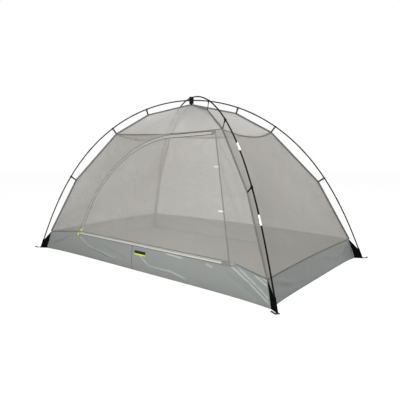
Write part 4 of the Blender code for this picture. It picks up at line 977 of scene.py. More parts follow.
def tub_walls():
    """The tub's wall all round with its drawn-in creases, and a painted highlight along their sharp ridges.
    """
    columns = tub_columns()
    sides = [side for _, _, side in columns]
    shares = spread(0.0, 1.0, TUB_ROWS)
    grid = np.array([[tuple(wall_place(*column, share)) for column in columns] for share in shares])
    for c, (low, _, _) in enumerate(columns):
        drawn = np.array(tuple(foot_inset(low)))[None, :]
        grid[:, c, :2] += drawn * foot_share(grid[:, c, 2])[:, None]
    lift = np.zeros(grid.shape[:2])
    crease_highlight = np.zeros(grid.shape[:2])
    deepening = bpy.context.scene.net_tent_sizes.fold_depth / 0.0040
    for start, end, width, depth in TUB_CREASES:
        lift += crease(grid, start, end, width, depth * deepening, "front", sides)
        if depth > 0 and width < WIDEST_HIGHLIT:
            # Sharp ridges get a painted highlight, strongest on the narrowest creases
            paleness = min(1.0, (HIGHLIGHT_WIDTH / width) ** 2)
            crease_highlight = np.maximum(crease_highlight, crease(grid, start, end, 0.85 * width, paleness, "front", sides))
    for side, start, end, width, depth in TUB_SIDE_CREASES:
        lift += crease(grid, start, end, width, depth, side, sides)
    lift += 0.0020 * noise_at(grid * 5.0) + 0.0004 * noise_at(grid * 14.0)
    sill_height = front_point(0.0, ZIP_SILL - CLOTH_EDGE).z
    belly_top = np.minimum(grid[-1, :, 2], sill_height)[None, :]
    belly = np.sin(math.pi * np.clip(grid[:, :, 2] / belly_top, 0.0, 1.0)) ** 0.7
    lift *= belly * (1 - 0.85 * under_label(grid, sides))
    return grid + outward_columns(grid) * lift[:, :, None], crease_highlight


def wall_place(low, top, side, share):
    """A point up the wall. Beside the zip's ends the wall goes on up the net's own slope."""
    sill = front_point(top.x, ZIP_SILL - CLOTH_EDGE)
    if side != "front" or top.z <= sill.z:
        return low.lerp(top, share)
    below = (sill - low).length
    travel = share * (below + (top - sill).length)
    if travel <= below:
        return low.lerp(sill, travel / below)
    return sill.lerp(top, (travel - below) / (top - sill).length)


def foot_share(heights):
    """How far the wall's foot has come in at each height: all of it on the ground."""
    return (1 - np.clip(heights / TUB_CORNER_HEIGHT, 0.0, 1.0)) ** FOOT_ROUNDING


def on_side(side, sides):
    """One for the columns on that side, and nothing for the others."""
    return np.array([float(name == side) for name in sides])[None, :]


def under_label(grid, sides):
    """One where the label is sewn on, and nothing a little way round it."""
    beside = np.abs(grid[:, :, 0] - (LABEL_X + LABEL_LENGTH / 2)) - LABEL_LENGTH / 2
    level = np.abs(grid[:, :, 2] - (LABEL_TOP_HEIGHT - LABEL_HEIGHT / 2)) - LABEL_HEIGHT / 2
    return (1 - smooth_share(np.maximum(beside, level), 0.0, 0.012)) * on_side("front", sides)


def foot_inset(low):
    """How far the wall's foot is drawn in under it, most in the middle of each side."""
    across = low.x / TUB_HALF_LENGTH
    deep = low.y / TUB_HALF_WIDTH
    x = -math.copysign(FOOT_INSET_ENDS * (1 - deep**6), low.x) if abs(across) > 0.999 else 0.0
    y = -math.copysign(FOOT_INSET_LONG_SIDES * (1 - across**6), low.y) if abs(deep) > 0.999 else 0.0
    return Vector((x, y))


def outward_columns(grid):
    """The tub wall's normals, each turned away from the tent's upright middle line."""
    normals = grid_normals(grid)
    normals = normals * np.sign((normals * grid * (1.0, 1.0, 0.0)).sum(axis=2, keepdims=True))
    normals[:, -1] = normals[:, 0]
    return normals


def crease(grid, start, end, width, depth, side, sides):
    """A soft ridge in the cloth of one wall, from one place to another on it (along, height)."""
    along = grid[:, :, 0 if side in ("front", "back") else 1] - start[0]
    height = grid[:, :, 2] - start[1]
    run = np.array(end) - np.array(start)
    length = np.linalg.norm(run)
    share = (along * run[0] + height * run[1]) / length**2
    across = (height * run[0] - along * run[1]) / length
    ends = smooth_share(share, -0.12, 0.18) * smooth_share(1 - share, -0.12, 0.18)
    return depth * np.exp(-((across / width) ** 2)) * ends * on_side(side, sides)


# Creases of the tub: start and end (along, height), width and depth. Sharp ridges get a painted highlight.
# Crease width for a full painted highlight, and the widest crease that gets one
HIGHLIGHT_WIDTH = 0.0053
WIDEST_HIGHLIT = 0.011
TUB_CREASES = (
    ((0.775, 0.172), (0.915, 0.101), 0.0053, 0.0058),
    ((0.905, 0.107), (1.040, 0.020), 0.0053, 0.0058),
    ((0.832, 0.164), (0.969, 0.090), 0.0060, 0.0050),
    ((0.955, 0.098), (1.042, 0.040), 0.0060, 0.0050),
    ((0.815, 0.164), (1.045, 0.032), 0.0040, -0.0025),
    ((0.940, 0.146), (1.032, 0.102), 0.0060, 0.0045),
    ((0.975, 0.150), (1.032, 0.126), 0.0060, 0.0045),
    ((0.700, 0.150), (0.990, 0.010), 0.0160, -0.0040),
    ((0.610, 0.151), (0.662, 0.137), 0.0070, 0.0045),
    ((0.290, 0.160), (0.430, 0.152), 0.0055, 0.0035),
    ((0.045, 0.120), (0.150, 0.050), 0.0070, 0.0055),
    ((0.140, 0.054), (0.330, 0.052), 0.0065, 0.0050),
    ((0.310, 0.060), (0.460, 0.030), 0.0065, 0.0050),
    ((0.100, 0.060), (0.330, 0.020), 0.0120, -0.0035),
    ((-0.615, 0.146), (-0.515, 0.100), 0.0080, 0.0075),
    ((-0.525, 0.104), (-0.425, 0.081), 0.0090, 0.0075),
    ((-0.440, 0.086), (-0.200, 0.048), 0.0100, 0.0070),
    ((-0.480, 0.075), (-0.250, 0.030), 0.0120, -0.0045),
    ((-0.680, 0.165), (-0.985, 0.040), 0.0060, -0.0055),
    ((-0.600, 0.140), (-1.020, 0.115), 0.0500, 0.0080),
    ((-0.400, 0.130), (-0.100, 0.060), 0.0140, -0.0030),
)
TUB_SIDE_CREASES = (
    ("right", (-0.56, 0.130), (-0.30, 0.040), 0.012, 0.0045),
    ("right", (-0.52, 0.080), (-0.20, 0.020), 0.012, -0.0035),
    ("right", (0.56, 0.130), (0.34, 0.040), 0.012, 0.0045),
    ("right", (0.10, 0.120), (0.36, 0.060), 0.016, 0.0030),
    ("left", (-0.56, 0.130), (-0.32, 0.040), 0.012, 0.0045),
    ("left", (0.56, 0.130), (0.30, 0.040), 0.012, 0.0045),
    ("back", (-0.98, 0.130), (-0.72, 0.030), 0.013, 0.0050),
    ("back", (0.98, 0.130), (0.72, 0.030), 0.013, 0.0050),
    ("back", (-0.40, 0.130), (0.05, 0.040), 0.016, 0.0035),
    ("back", (0.20, 0.120), (0.62, 0.070), 0.016, -0.0030),
)


def floor_corner(corner):
    side_x, side_y = CORNERS[corner]
    return Vector((side_x * TUB_HALF_LENGTH, side_y * TUB_HALF_WIDTH, 0.0))


# The front seam's place, and the floor's folds from edge to edge
FELLED_SEAM_X = -0.025
FLOOR_FOLDS = (
    ((-1.05, 0.05), (1.05, -0.10)), ((-0.35, -0.628), (-0.30, 0.628)), ((0.42, -0.628), (0.40, 0.628)),
)


def floor_grid():
    """The groundsheet, drawn in at its sides, with an uneven bed and a few long folds."""
    columns, rows = 106, 64
    across, deep = np.meshgrid(np.linspace(-1, 1, columns + 1), np.linspace(-1, 1, rows + 1))
    x = across * TUB_HALF_LENGTH
    y = deep * TUB_HALF_WIDTH
    level = np.ones_like(x)
    rim = np.minimum(1.0, 7 * np.minimum(1 - np.abs(across), 1 - np.abs(deep)))
    bed = noise_at(np.stack([x * 2.2, y * 2.2, 0.4 * level], axis=2))
    bed += 0.5 * noise_at(np.stack([x * 7, y * 7, 2.0 * level], axis=2))
    fold = np.zeros_like(x)
    for (ax, ay), (bx, by) in FLOOR_FOLDS:
        gap = ((y - ay) * (bx - ax) - (x - ax) * (by - ay)) / math.hypot(bx - ax, by - ay)
        fold += 0.0035 * np.exp(-((gap / 0.012) ** 2))
    x = x - across * FOOT_INSET_ENDS * (1 - deep**6)
    y = y - deep * FOOT_INSET_LONG_SIDES * (1 - (x / TUB_HALF_LENGTH) ** 6)
    return np.stack([x, y, 0.0004 + rim * (np.maximum(0.0, 0.0040 * bed) + fold)], axis=2)


def build_tub():
    grid, crease_highlight = tub_walls()
    mesh = patch_mesh([grid])
    # The painted crease highlights, stored on the mesh for the tub cloth's colour
    layer = mesh.attributes.new(CREASE_HIGHLIGHTS, "FLOAT", "POINT")
    layer.data.foreach_set("value", crease_highlight.ravel())
    walls = finish_piece("tub_walls", mesh, "tub cloth", nodes=["tub_floor"])
    base = finish_piece("tub_base", patch_mesh([floor_grid()]), "groundsheet")
    build_tub_tapes(grid)


def build_tub_tapes(grid):
    """The tape over the tub's top seam, all round but for the zip, and the felled front seam."""
    front_end = TUB_FRONT_COLUMNS[0] + 1
    sill_end = front_end + TUB_FRONT_COLUMNS[1]
    meshes = []
    for span in (slice(0, front_end), slice(sill_end + 1, None)):
        edge = grid[-1, span]
        inward, normal = edge_frame(edge, grid[-2, span])
        normal = normal * np.sign((normal * edge * (1.0, 1.0, 0.0)).sum(axis=1))[:, None]
        near = edge - inward * 0.0025 + normal * 0.0012
        far = edge + inward * 0.0035 + normal * 0.0010
        meshes.append(sweep_mesh(band_rings(near, far, normal, 0.0007)))
    finish_piece("tub_top_tape", joined(meshes), "hem")
    column = front_end + int(np.argmin(np.abs(grid[0, front_end:sill_end, 0] - FELLED_SEAM_X)))
    normals = outward_columns(grid)[:, column]
    line = grid[:, column] + normals * 0.0006
    side = np.array([0.0032, 0.0, 0.0])
    mesh = sweep_mesh(band_rings(line - side, line + side, normals, 0.0006))
    finish_piece("tub_felled_seam", mesh, "hem")
    mesh = hem_mesh([(grid[0], grid[1])], NET_HEM_WIDTH)
    finish_piece("tub_foot_hem", mesh, "tub cloth")


# Net panels


# Single folds of the nets: start and end (along, up), width and depth
FRONT_FOLDS = (
    ((0.505, 0.760), (0.700, 0.572), 0.013, 0.0095),
    ((0.535, 0.705), (0.720, 0.530), 0.011, -0.0080),
    ((0.600, 0.712), (0.775, 0.500), 0.010, 0.0070),
    ((0.560, 0.640), (0.775, 0.330), 0.020, 0.0080),
    ((-0.800, 0.070), (-0.665, 0.160), 0.011, 0.0080),
    ((-0.830, 0.045), (-0.670, 0.115), 0.010, -0.0065),
    ((-0.860, 0.110), (-0.690, 0.215), 0.014, 0.0065),
    ((0.790, 0.060), (0.930, 0.180), 0.014, 0.0070),
)
DOOR_FOLDS = (
    ((0.300, 0.610), (0.575, 0.500), 0.014, 0.0085),
    ((0.340, 0.560), (0.560, 0.470), 0.013, -0.0070),
    ((0.430, 0.465), (0.600, 0.415), 0.013, 0.0080),
    ((0.130, 0.455), (0.400, 0.440), 0.018, 0.0050),
    ((-0.440, 0.130), (-0.250, 0.250), 0.020, 0.0055),
    ((0.250, 0.720), (0.440, 0.640), 0.016, 0.0055),
)
ROOF_FOLDS = (
    (0.12, 0.02, 0.052, -0.022),
    (0.16, 0.20, 0.034, 0.012),
    (0.30, -0.45, 0.035, 0.008),
)
WALL_FOLDS = {
    "left": (
        ((-0.30, 0.700), (0.05, 0.560), 0.018, 0.0080), ((-0.42, 0.320), (-0.10, 0.240), 0.022, 0.0070),
    ),
    "right": (
        ((-0.060, 0.815), (0.110, 0.765), 0.013, 0.0090), ((0.030, 0.655), (0.200, 0.590), 0.013, 0.0090),
        ((-0.240, 0.700), (-0.300, 0.500), 0.015, 0.0080), ((-0.300, 0.490), (0.100, 0.360), 0.020, 0.0070),
    ),
    "back": (
        ((-0.500, 0.830), (-0.630, 0.660), 0.016, 0.0110), ((0.450, 0.800), (0.620, 0.560), 0.018, 0.0080),
        ((-0.20, 0.380), (0.25, 0.400), 0.022, 0.0060), ((-0.760, 0.300), (-0.500, 0.420), 0.020, 0.0070),
    ),
}


def wall_folds(side):
    """The single folds of one wall's net, from places along it and up it."""
    folds = []
    for start, end, width, depth in WALL_FOLDS[side]:
        places = []
        for along, height in (start, end):
            middle = tub_top_middle(side).lerp(seam_middle(side), height_share(height))
            x, y = (along, middle.y) if side == "back" else (middle.x, along)
            places.append(Vector((x, y, height)))
        folds.append((*places, width, depth))
    return folds


def bent_shares(bend, low_rows, high_rows):
    """Shares up a bent run: so many below its bend, and so many from there on."""
    return spread(0.0, bend, low_rows)[:-1] + spread(bend, 1.0, high_rows)


def hung_row(ends, middle, columns):
    """A row of cloth between two ridges that goes through a middle."""
    return [tuple(hung(*ends, middle, cross)) for cross in spread(-1.0, 1.0, columns)]


def wall_grid(side, rows, columns):
    base, top = tub_top_middle(side), seam_middle(side)
    bend = middle_share()
    low_rows = round(rows * bend)
    grid = []
    for share in bent_shares(bend, low_rows, rows - low_rows):
        ends = [ridge_point(corner, share) for corner in WALLS[side]]
        grid.append(hung_row(ends, base.lerp(top, height_share(ends[0].z)), columns))
    return np.array(grid)


def pulls_towards(centre, places, depth):
    """Tension folds from each (place, reach) towards the middle of the cloth."""
    return [(place, centre - place, depth, reach) for place, reach in places]


def wall_pulls(side, depth):
    """Tension folds from the two bends of each ridge and the tub's corners."""
    keys = ((0.0, 0.20), (middle_share(), 0.16), (1.0, 0.14))
    places = [(ridge_point(corner, share), reach) for corner in WALLS[side] for share, reach in keys]
    return pulls_towards((seam_middle(side) + tub_top_middle(side)) / 2, places, depth)


def edge_pairs(grid):
    """The two sides and the top of a net, each with the line next to it."""
    return [(grid[:, 0], grid[:, 1]), (grid[:, -1], grid[:, -2]), (grid[-1], grid[-2])]


def build_side_nets():
    sizes = bpy.context.scene.net_tent_sizes
    for index, side in enumerate(("left", "right", "back")):
        grid = wall_grid(side, 30, 60 if side == "back" else 40)
        pulls = wall_pulls(side, sizes.net_folds)
        grid = tensioned(grid, pulls, sizes.net_slack, 1.0 + index, folds=wall_folds(side))
        panel = finish_piece(
            f"{side}_net", patch_mesh([grid]), "wall net", nodes=[f"net_{side}"]
        )
        wall_cut(grid, mesh_area(panel))
        hems = hem_mesh(edge_pairs(grid), NET_HEM_WIDTH)
        finish_piece(f"{side}_hems", hems, "hem")


def wall_cut(grid, area):
    """The widest length and height of a wall's net, wide enough to hold its area."""
    spans = cloth_lengths(grid)
    width = float((spans[:, -1, 0] - spans[:, 0, 0]).max())
    height = float(spans[-1, :, 1].max())
    if area > width * height:
        width *= 1.02 * area / (width * height)
    return round(width, 3), round(height, 3)


def mesh_area(panel):
    return float(sum(face.area for face in panel.data.polygons))


COLUMNS_PER_KEY = 4


def spaced(keys):
    """Evenly spaced places from each key up to the next one, without the last key."""
    return [place for pair in zip(keys, keys[1:]) for place in spread(*pair, COLUMNS_PER_KEY)[:-1]]


def surround_columns():
    """Pairs of points from the door's opening to the wall's outer edge, all the way round."""
    edge = CLOTH_EDGE
    sill = ZIP_SILL + NOTCH
    bend = middle_share()
    ridge_keys = (0.0, 0.06, 0.12, 0.25, 0.37, bend, 0.62, 0.75, 0.88, 1.0)
    hinge_keys = (1.0, 0.82, 0.65, bend, 0.33, 0.16, 0.06, 0.0)
    arc_steps, tail_steps = 14, 5
    knee = len(ridge_keys) - 3
    steps = arc_steps - knee + tail_steps

    def arc_place(step):
        angle = math.pi * (1 - step / (2 * arc_steps))
        return Vector(polar(ARCH_RADIUS + edge, angle, (ARCH_CENTRE_X, ARCH_CENTRE_SLOPE)))

    start = Vector((ZIP_START_X - NOTCH_RUN, sill))
    foot = Vector((ARCH_LEFT_X - edge, sill))
    left = spaced([start, foot, arc_place(0)]) + [arc_place(step) for step in spaced(range(knee + 1))]
    top_x = hinge_x(ARCH_TOP_SLOPE + ARCH_TAIL_RISE + edge) + HINGE_GAP / 2
    tail_start, tail_end = (Vector(place) for place in arch_line(edge, arc_steps, sill, top_x)[-2:])
    top = [arc_place(step) for step in spaced(range(knee, arc_steps + 1))]
    top += spaced(spread(tail_start, tail_end, tail_steps))
    lowest = height_share(ridge_place(hinge_keys[-2]).y)

    def hinge_place(share):
        part = height_share(ridge_place(share).y)
        slope = lerp(sill, tail_end.y, (part - lowest) / (1 - lowest))
        return Vector((hinge_x(slope) + HINGE_GAP / 2, slope))

    right = [hinge_place(share) for share in spaced(hinge_keys[:-1])]
    end = Vector((ZIP_END_X + NOTCH_RUN, sill))
    right += spread(hinge_place(hinge_keys[-2]), end, COLUMNS_PER_KEY)
    outer = [ridge_point("front_left", share) for share in spaced(ridge_keys)]
    outer += [seam_point("front", cross) for cross in spaced(spread(-1.0, 1.0, steps))]
    outer += [ridge_point("front_right", share) for share in [*spaced(hinge_keys), 0.0]]
    return list(zip(left + top + right, outer)), len(left), len(top)


def build_front_net():
    sizes = bpy.context.scene.net_tent_sizes
    pairs, left_end, top_count = surround_columns()
    count = 18
    grid = np.zeros((count + 1, len(pairs), 3))
    for c, ((x, slope), far) in enumerate(pairs):
        near = front_point(x, slope)
        bulge = FRONT_OUT * (far - FRONT_LOW).dot(FRONT_OUT)
        for r in range(count + 1):
            cross = r / count
            grid[r, c] = near.lerp(far, cross) + bulge * (cross * cross - cross)
    places = []
    for corner, share, reach in (
        ("front_left", 0.0, 0.18), ("front_left", middle_share(), 0.14), ("front_left", 1.0, 0.12),
        ("front_right", 1.0, 0.12), ("front_right", middle_share(), 0.14), ("front_right", 0.0, 0.16),
    ):
        places.append((ridge_point(corner, share), reach))
    pulls = pulls_towards(front_point(0.1, 0.4), places, sizes.net_folds * 1.3)
    grid = tensioned(grid, pulls, sizes.net_slack * 0.8, 4.0, held=0.035, folds=front_folds(FRONT_FOLDS))
    top_end = left_end + top_count
    knees = (0, left_end, left_end + top_count // 2, top_end, grid.shape[1] - 1)
    names = ("front_net_left", "front_net_top", "front_net_over_arch", "front_net_right")
    for index, name in enumerate(names):
        part = grid[:, knees[index] : knees[index + 1] + 1]
        nodes = [] if index else ["net_front"]
        panel = finish_piece(name, patch_mesh([part]), "wall net", nodes=nodes)
    edges = [
        (grid[-1, first:last], grid[-2, first:last])
        for first, last in ((0, left_end + 1), (left_end, top_end + 1), (top_end, None))
    ]
    hems = hem_mesh(edges + edge_pairs(grid)[:2], NET_HEM_WIDTH)
    finish_piece("front_hems", hems, "hem")


def front_folds(rows):
    """A table's folds as places on the front wall."""
    return [(front_point(*start), front_point(*end), width, depth) for start, end, width, depth in rows]


def build_roof():
    sizes = bpy.context.scene.net_tent_sizes
    apex = UP * ROOF_HEIGHT
    bend = middle_share(4, 2)
    patches, edges = [], []
    for index, side in enumerate(("front", "right", "back", "left")):
        columns = 44 if side in ("front", "back") else 28
        grid = []
        for share in bent_shares(bend, 9, 9):
            ends = [ridge_point(corner, share, 4, 2) for corner in WALLS[side]]
            part = (ROOF_HEIGHT - ends[0].z) / (ROOF_HEIGHT - HIGH_BEND_HEIGHT)
            grid.append(hung_row(ends, apex.lerp(seam_middle(side), part), columns))
        grid = np.array(grid)
        grid[0] = grid[0] + (grid[1] - grid[0]) * 0.02
        places = [
            (ridge_point(corner, share, 4, 2), 0.10) for corner in WALLS[side] for share in (bend, 1.0)
        ]
        pulls = pulls_towards(apex.lerp(seam_middle(side), 0.6), places, sizes.net_folds)
        folds = []
        for reach, cross, width, depth in ROOF_FOLDS if side == "front" else ():
            start = apex.lerp(seam_point(side, 0.0), reach)
            folds.append((start, seam_point(side, cross), width, depth))
        grid = tensioned(grid, pulls, sizes.net_slack * 0.7, 7.0 + index, held=0.04, folds=folds)
        patches.append(grid)
        edges += edge_pairs(grid)
    panel = finish_piece("roof_net", patch_mesh(patches), "roof net", nodes=["net_roof"])
    finish_piece("roof_hems", hem_mesh(edges, ROOF_HEM_WIDTH), "hem")


def build_door():
    sizes = bpy.context.scene.net_tent_sizes
    low = ZIP_SILL + CLOTH_EDGE
    line = [Vector(place) for place in arch_line(-CLOTH_EDGE, 56, low)]
    slope = line[-1].y
    tail_end = Vector((hinge_x(slope) - HINGE_GAP, slope))
    line = line[:-1] + spread(line[-2], tail_end, 8)[1:]
    travel = [0.0]
    for first, second in zip(line, line[1:]):
        travel.append(travel[-1] + (second - first).length)
    columns = 40
    grid = np.zeros((len(line), columns + 1, 3))
    places = np.zeros((len(line), columns + 1, 2))
    for r, (point, distance) in enumerate(zip(line, travel)):
        seam_slope = lerp(low, slope, distance / travel[-1])
        seam = Vector((hinge_x(seam_slope) - HINGE_GAP / 2, seam_slope))
        for c in range(columns + 1):
            places[r, c] = point.lerp(seam, c / columns)
            grid[r, c] = front_point(*places[r, c], -NET_THICKNESS / 2)
    corner = front_point(ARCH_LEFT_X, ZIP_SILL)
    pulls = []
    for place, aim, reach in (
        (corner, front_point(0.2, 0.4) - corner, 0.25),
        (front_point(HINGE_SILL_X, ZIP_SILL), (-1.0, 0.3, 0.8), 0.22),
        (front_point(HINGE_TOP_X, HINGE_TOP_SLOPE), (-1.0, -0.4, -0.9), 0.22),
    ):
        pulls.append((place, aim, sizes.net_folds, reach))
    folds = front_folds(DOOR_FOLDS)
    grid = tensioned(grid, pulls, sizes.net_slack, 12.0, held=0.06, only_out=True, folds=folds)
    mesh = patch_mesh([grid], [places])
    panel = finish_piece("door_panel", mesh, "door net", "door", ["door_net"])
    seam = Vector((HINGE_TOP_X - HINGE_SILL_X, HINGE_TOP_SLOPE - ZIP_SILL)).normalized()
    across = Vector((seam.y, -seam.x)) * HINGE_TAPE_HALF_WIDTH
    near, far = [], []
    for slope in spread(ZIP_SILL - 0.004, HINGE_TOP_SLOPE, 40):
        place = Vector((hinge_x(slope), slope))
        near.append(front_point(*(place - across), HINGE_TAPE_LEVEL))
        far.append(front_point(*(place + across), HINGE_TAPE_LEVEL))
    mesh = sweep_mesh(wide_band(near, far, FRONT_OUT * (HINGE_TAPE_THICKNESS / 2), 8))
    item = finish_piece("hinge_seam", mesh, "ridge tape", None)
    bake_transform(item)


def wide_band(near, far, rise, pieces):
    """Band rings with many points across, for cloth that has to bend lengthwise."""
    rings = []
    for a, b in zip(near, far):
        line = spread(a, b, pieces)
        rings.append([place + rise for place in line] + [place - rise for place in line[::-1]])
    return rings
# Zips


def front_band(near, far, level, thickness, crown=0.0):
    """A band between two lines of places on the front wall."""
    lines = [[front_point(x, slope, level) for x, slope in line] for line in (near, far)]
    return sweep_mesh(band_rings(*lines, [FRONT_OUT] * len(near), thickness, crown))


def straight(first_x, last_x, sign):
    """Lines along the sill, at any offset to one side of it."""
    return lambda offset: [(x, ZIP_SILL + sign * offset) for x in spread(first_x, last_x, 60)]


def build_zips():
    near = COIL_GAP / 2
    far = near + COIL_WIDTH
    sewn = near + COIL_WIDTH / 2
    frame_start = ZIP_SILL + NOTCH + ZIP_CLEARANCE
    door_start = ZIP_SILL + DOOR_TAPE_RISE + ZIP_CLEARANCE
    sill_start = ARCH_LEFT_X + SLIDER_HALF_WIDTH + ZIP_CLEARANCE
    sill_end = hinge_x(ZIP_SILL) - TAPE_EDGE / 2

    def arched(start, sign):
        return lambda offset: arch_line(sign * offset, 96, start)

    # Body, line, CAD node, where the folded edge starts, and the edge's width
    sides = {
        "frame": ("tent", arched(frame_start, 1), ["zip_tape_frame"], 0.0085, 0.0048),
        "tub": ("tent", straight(ZIP_START_X, ZIP_END_X, -1), ["zip_tape_tub"], 0.0125, 0.0030),
        "door": ("door", arched(door_start, -1), ["zip_tape_door"], 0.0085, 0.0048),
        "door_sill": ("door", straight(sill_start, sill_end, 1), [], 0.0050, 0.0040),
    }
    for name, (body, line_at, nodes, fold, piping) in sides.items():
        finish = "sill tape" if name == "tub" else "zip tape"
        tape = front_band(line_at(sewn), line_at(fold + piping / 2), ZIP_LEVEL, TAPE_THICKNESS)
        finish_piece(f"{name}_tape", tape, finish, body, nodes)
        coil = front_band(line_at(near), line_at(far), ZIP_LEVEL, COIL_THICKNESS * 0.7, 0.0004)
        finish_piece(f"{name}_coil", coil, "zip coil", body)
        edge = front_band(line_at(fold), line_at(fold + piping), ZIP_LEVEL, PIPING_THICKNESS)
        finish_piece(f"{name}_piping", edge, "zip edging", body)
    tail = ARCH_TOP_SLOPE + ARCH_TAIL_RISE
    # Body, first and last x, lowest and highest slope
    ends = {
        "sill_end_patch": ("tent", (0.716, 0.779), ZIP_SILL - 0.0155, ZIP_SILL - near),
        "sill_end_band": ("tent", (0.779, 0.7925), ZIP_SILL - 0.0155, ZIP_SILL - 0.0052),
        "sill_end_cover": ("tent", (0.7925, ZIP_END_X + 0.001), ZIP_SILL - 0.0140, ZIP_SILL + 0.0040),
        "door_sill_end_patch": ("door", (0.716, sill_end - 0.003), ZIP_SILL + near, ZIP_SILL + 0.0085),
        "arch_end_patch": ("tent", (ARCH_TAIL_X - 0.022, ARCH_TAIL_X + 0.004), tail + near, tail + 0.0125),
        "door_arch_end_patch": ("door", (ARCH_TAIL_X - 0.022, ARCH_TAIL_X), tail - 0.0125, tail - near),
    }
    for name, (body, (first, last), low, high) in ends.items():
        level = ZIP_LEVEL + (BAND_RISE if name == "sill_end_band" else PATCH_RISE)
        lines = [[(x, slope) for x in spread(first, last, 6)] for slope in (low, high)]
        finish = "tub cloth" if name == "sill_end_cover" else "zip patch"
        patch = front_band(*lines, level, PATCH_THICKNESS, PATCH_CROWN)
        finish_piece(name, patch, finish, body)
    lines = [
        [(x, ZIP_SILL + sewn), (x, door_start)] for x in (sill_start, ARCH_LEFT_X + TAPE_EDGE + 0.001)
    ]
    mesh = front_band(*lines, ZIP_LEVEL, TAPE_THICKNESS)
    finish_piece("door_corner_tape", mesh, "zip tape", "door")
    for which in ("arch", "sill"):
        dress_node(f"slider_{which}", "slider metal", 0.00018)
        dress_node(f"pull_tab_{which}", "pull tab", 0.00018)
        build_grip(which)


def node_places(name):
    """The places of a CAD node's vertices."""
    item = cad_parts[name]
    return np.array([tuple(item.matrix_world @ vert.co) for vert in item.data.vertices])


def rounded(value, power):
    """A sine or cosine drawn out towards a square corner."""
    return math.copysign(abs(value) ** power, value)


def build_grip(which):
    """The soft grip moulded over the lower part of a pull tab."""
    verts = node_places(f"pull_tab_{which}")
    centre = Vector((verts.max(axis=0) + verts.min(axis=0)) / 2)
    _, _, axes = np.linalg.svd(verts - verts.mean(axis=0), full_matrices=False)
    run, across, off = (Vector(axis) for axis in axes)
    held = Vector(node_places(f"slider_{which}").mean(axis=0))
    if run.dot(centre - held) < 0:
        run = -run
    if off.dot(FRONT_OUT) < 0:
        off = -off
    middle = centre + off * GRIP_OFFSET
    rings = []
    for share in spread(0.0, 1.0, 14):
        swell = max(0.12, (1 - abs(2 * share - 1) ** 3.5) ** 0.5)
        place = middle + run * lerp(GRIP_START, GRIP_END, share)
        ring = []
        for j in range(16):
            cosine, sine = polar(1.0, 2 * math.pi * j / 16)
            wide = across * (GRIP_HALF_WIDTH * rounded(cosine, 0.7))
            deep = off * (GRIP_HALF_DEPTH * rounded(sine, 0.8))
            ring.append(place + (wide + deep) * swell)
        rings.append(ring)
    finish_piece(f"{which}_pull_grip", sweep_mesh(rings), "pull tab", f"{which}_pull")


def dress_node(name, finish, bevel=0.0):
    """Gives a CAD node its finish, and soft edges that leave its mesh as it is."""
    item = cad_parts[name]
    if not item.material_slots:
        item.data.materials.append(surface(finish))
    for place in item.material_slots:
        place.material = surface(finish)
    if bevel:
        change = item.modifiers.new("soft edges", "BEVEL")
        change.width = bevel
        change.segments = 2
        change.limit_method = "ANGLE"
        change.angle_limit = math.radians(35)


# Ridges, straps and clips


def clip_frame(path, bend, corner):
    reach, height = RIDGE[bend]
    place = diagonal(corner) * reach + UP * height
    arc = path.nearest(place)
    centre = path.point(arc)
    along = path.tangent(arc)
    away = (centre - place) - along * (centre - place).dot(along)
    strap_length = away.length
    away.normalize()
    return frame_matrix(centre, along, away, along.cross(away)), strap_length


def offset_line(places, distance):
    """The line moved sideways, mitred where it bends."""
    runs = [(second - first).normalized() for first, second in zip(places, places[1:])]
    result = []
    for place, before, after in zip(places, runs[:1] + runs, runs + runs[-1:]):
        middle = (before + after).normalized()
        mitre = 1.0 / max(0.3, middle.dot(after))
        result.append(place + Vector((-middle.y, middle.x)) * distance * mitre)
    return result


def ridge_fin(corner):
    """The bound seam that stands out along one ridge, folded over a core and sewn twice."""
    places = [Vector(place) for place in RIDGE]
    places[0] = places[0] + (places[1] - places[0]).normalized() * FIN_END_GAP
    places[-1] = places[-1] + (places[-2] - places[-1]).normalized() * FIN_APEX_GAP
    route = []
    for first, second in zip(places, places[1:]):
        steps = max(2, int((second - first).length / FIN_STEP))
        route += [first.lerp(second, k / steps) for k in range(steps)]
    route.append(places[-1])
    route = route[::-1]
    low = offset_line(route, SEAM_GAP)
    high = offset_line(route, SEAM_GAP + FIN_HEIGHT)
    out = diagonal(corner)
    across = out.cross(UP)
    rings = []
    for index, (a, b) in enumerate(zip(low, high)):
        ripple = 0.0005 * math.sin(index * 1.7)
        inner = out * a.x + UP * a.y
        outer = out * b.x + UP * b.y + across * ripple
        rise = (outer - inner).normalized()
        half = [
            (inner, 0.0007), (inner + rise * 0.0030, 0.0007), (outer - rise * 0.0012, 0.0010),
            (outer, 0.0004),
        ]
        ring = [place + across * width for place, width in half]
        rings.append(ring + [place - across * width for place, width in half[::-1]])
    return sweep_mesh(rings, 55)


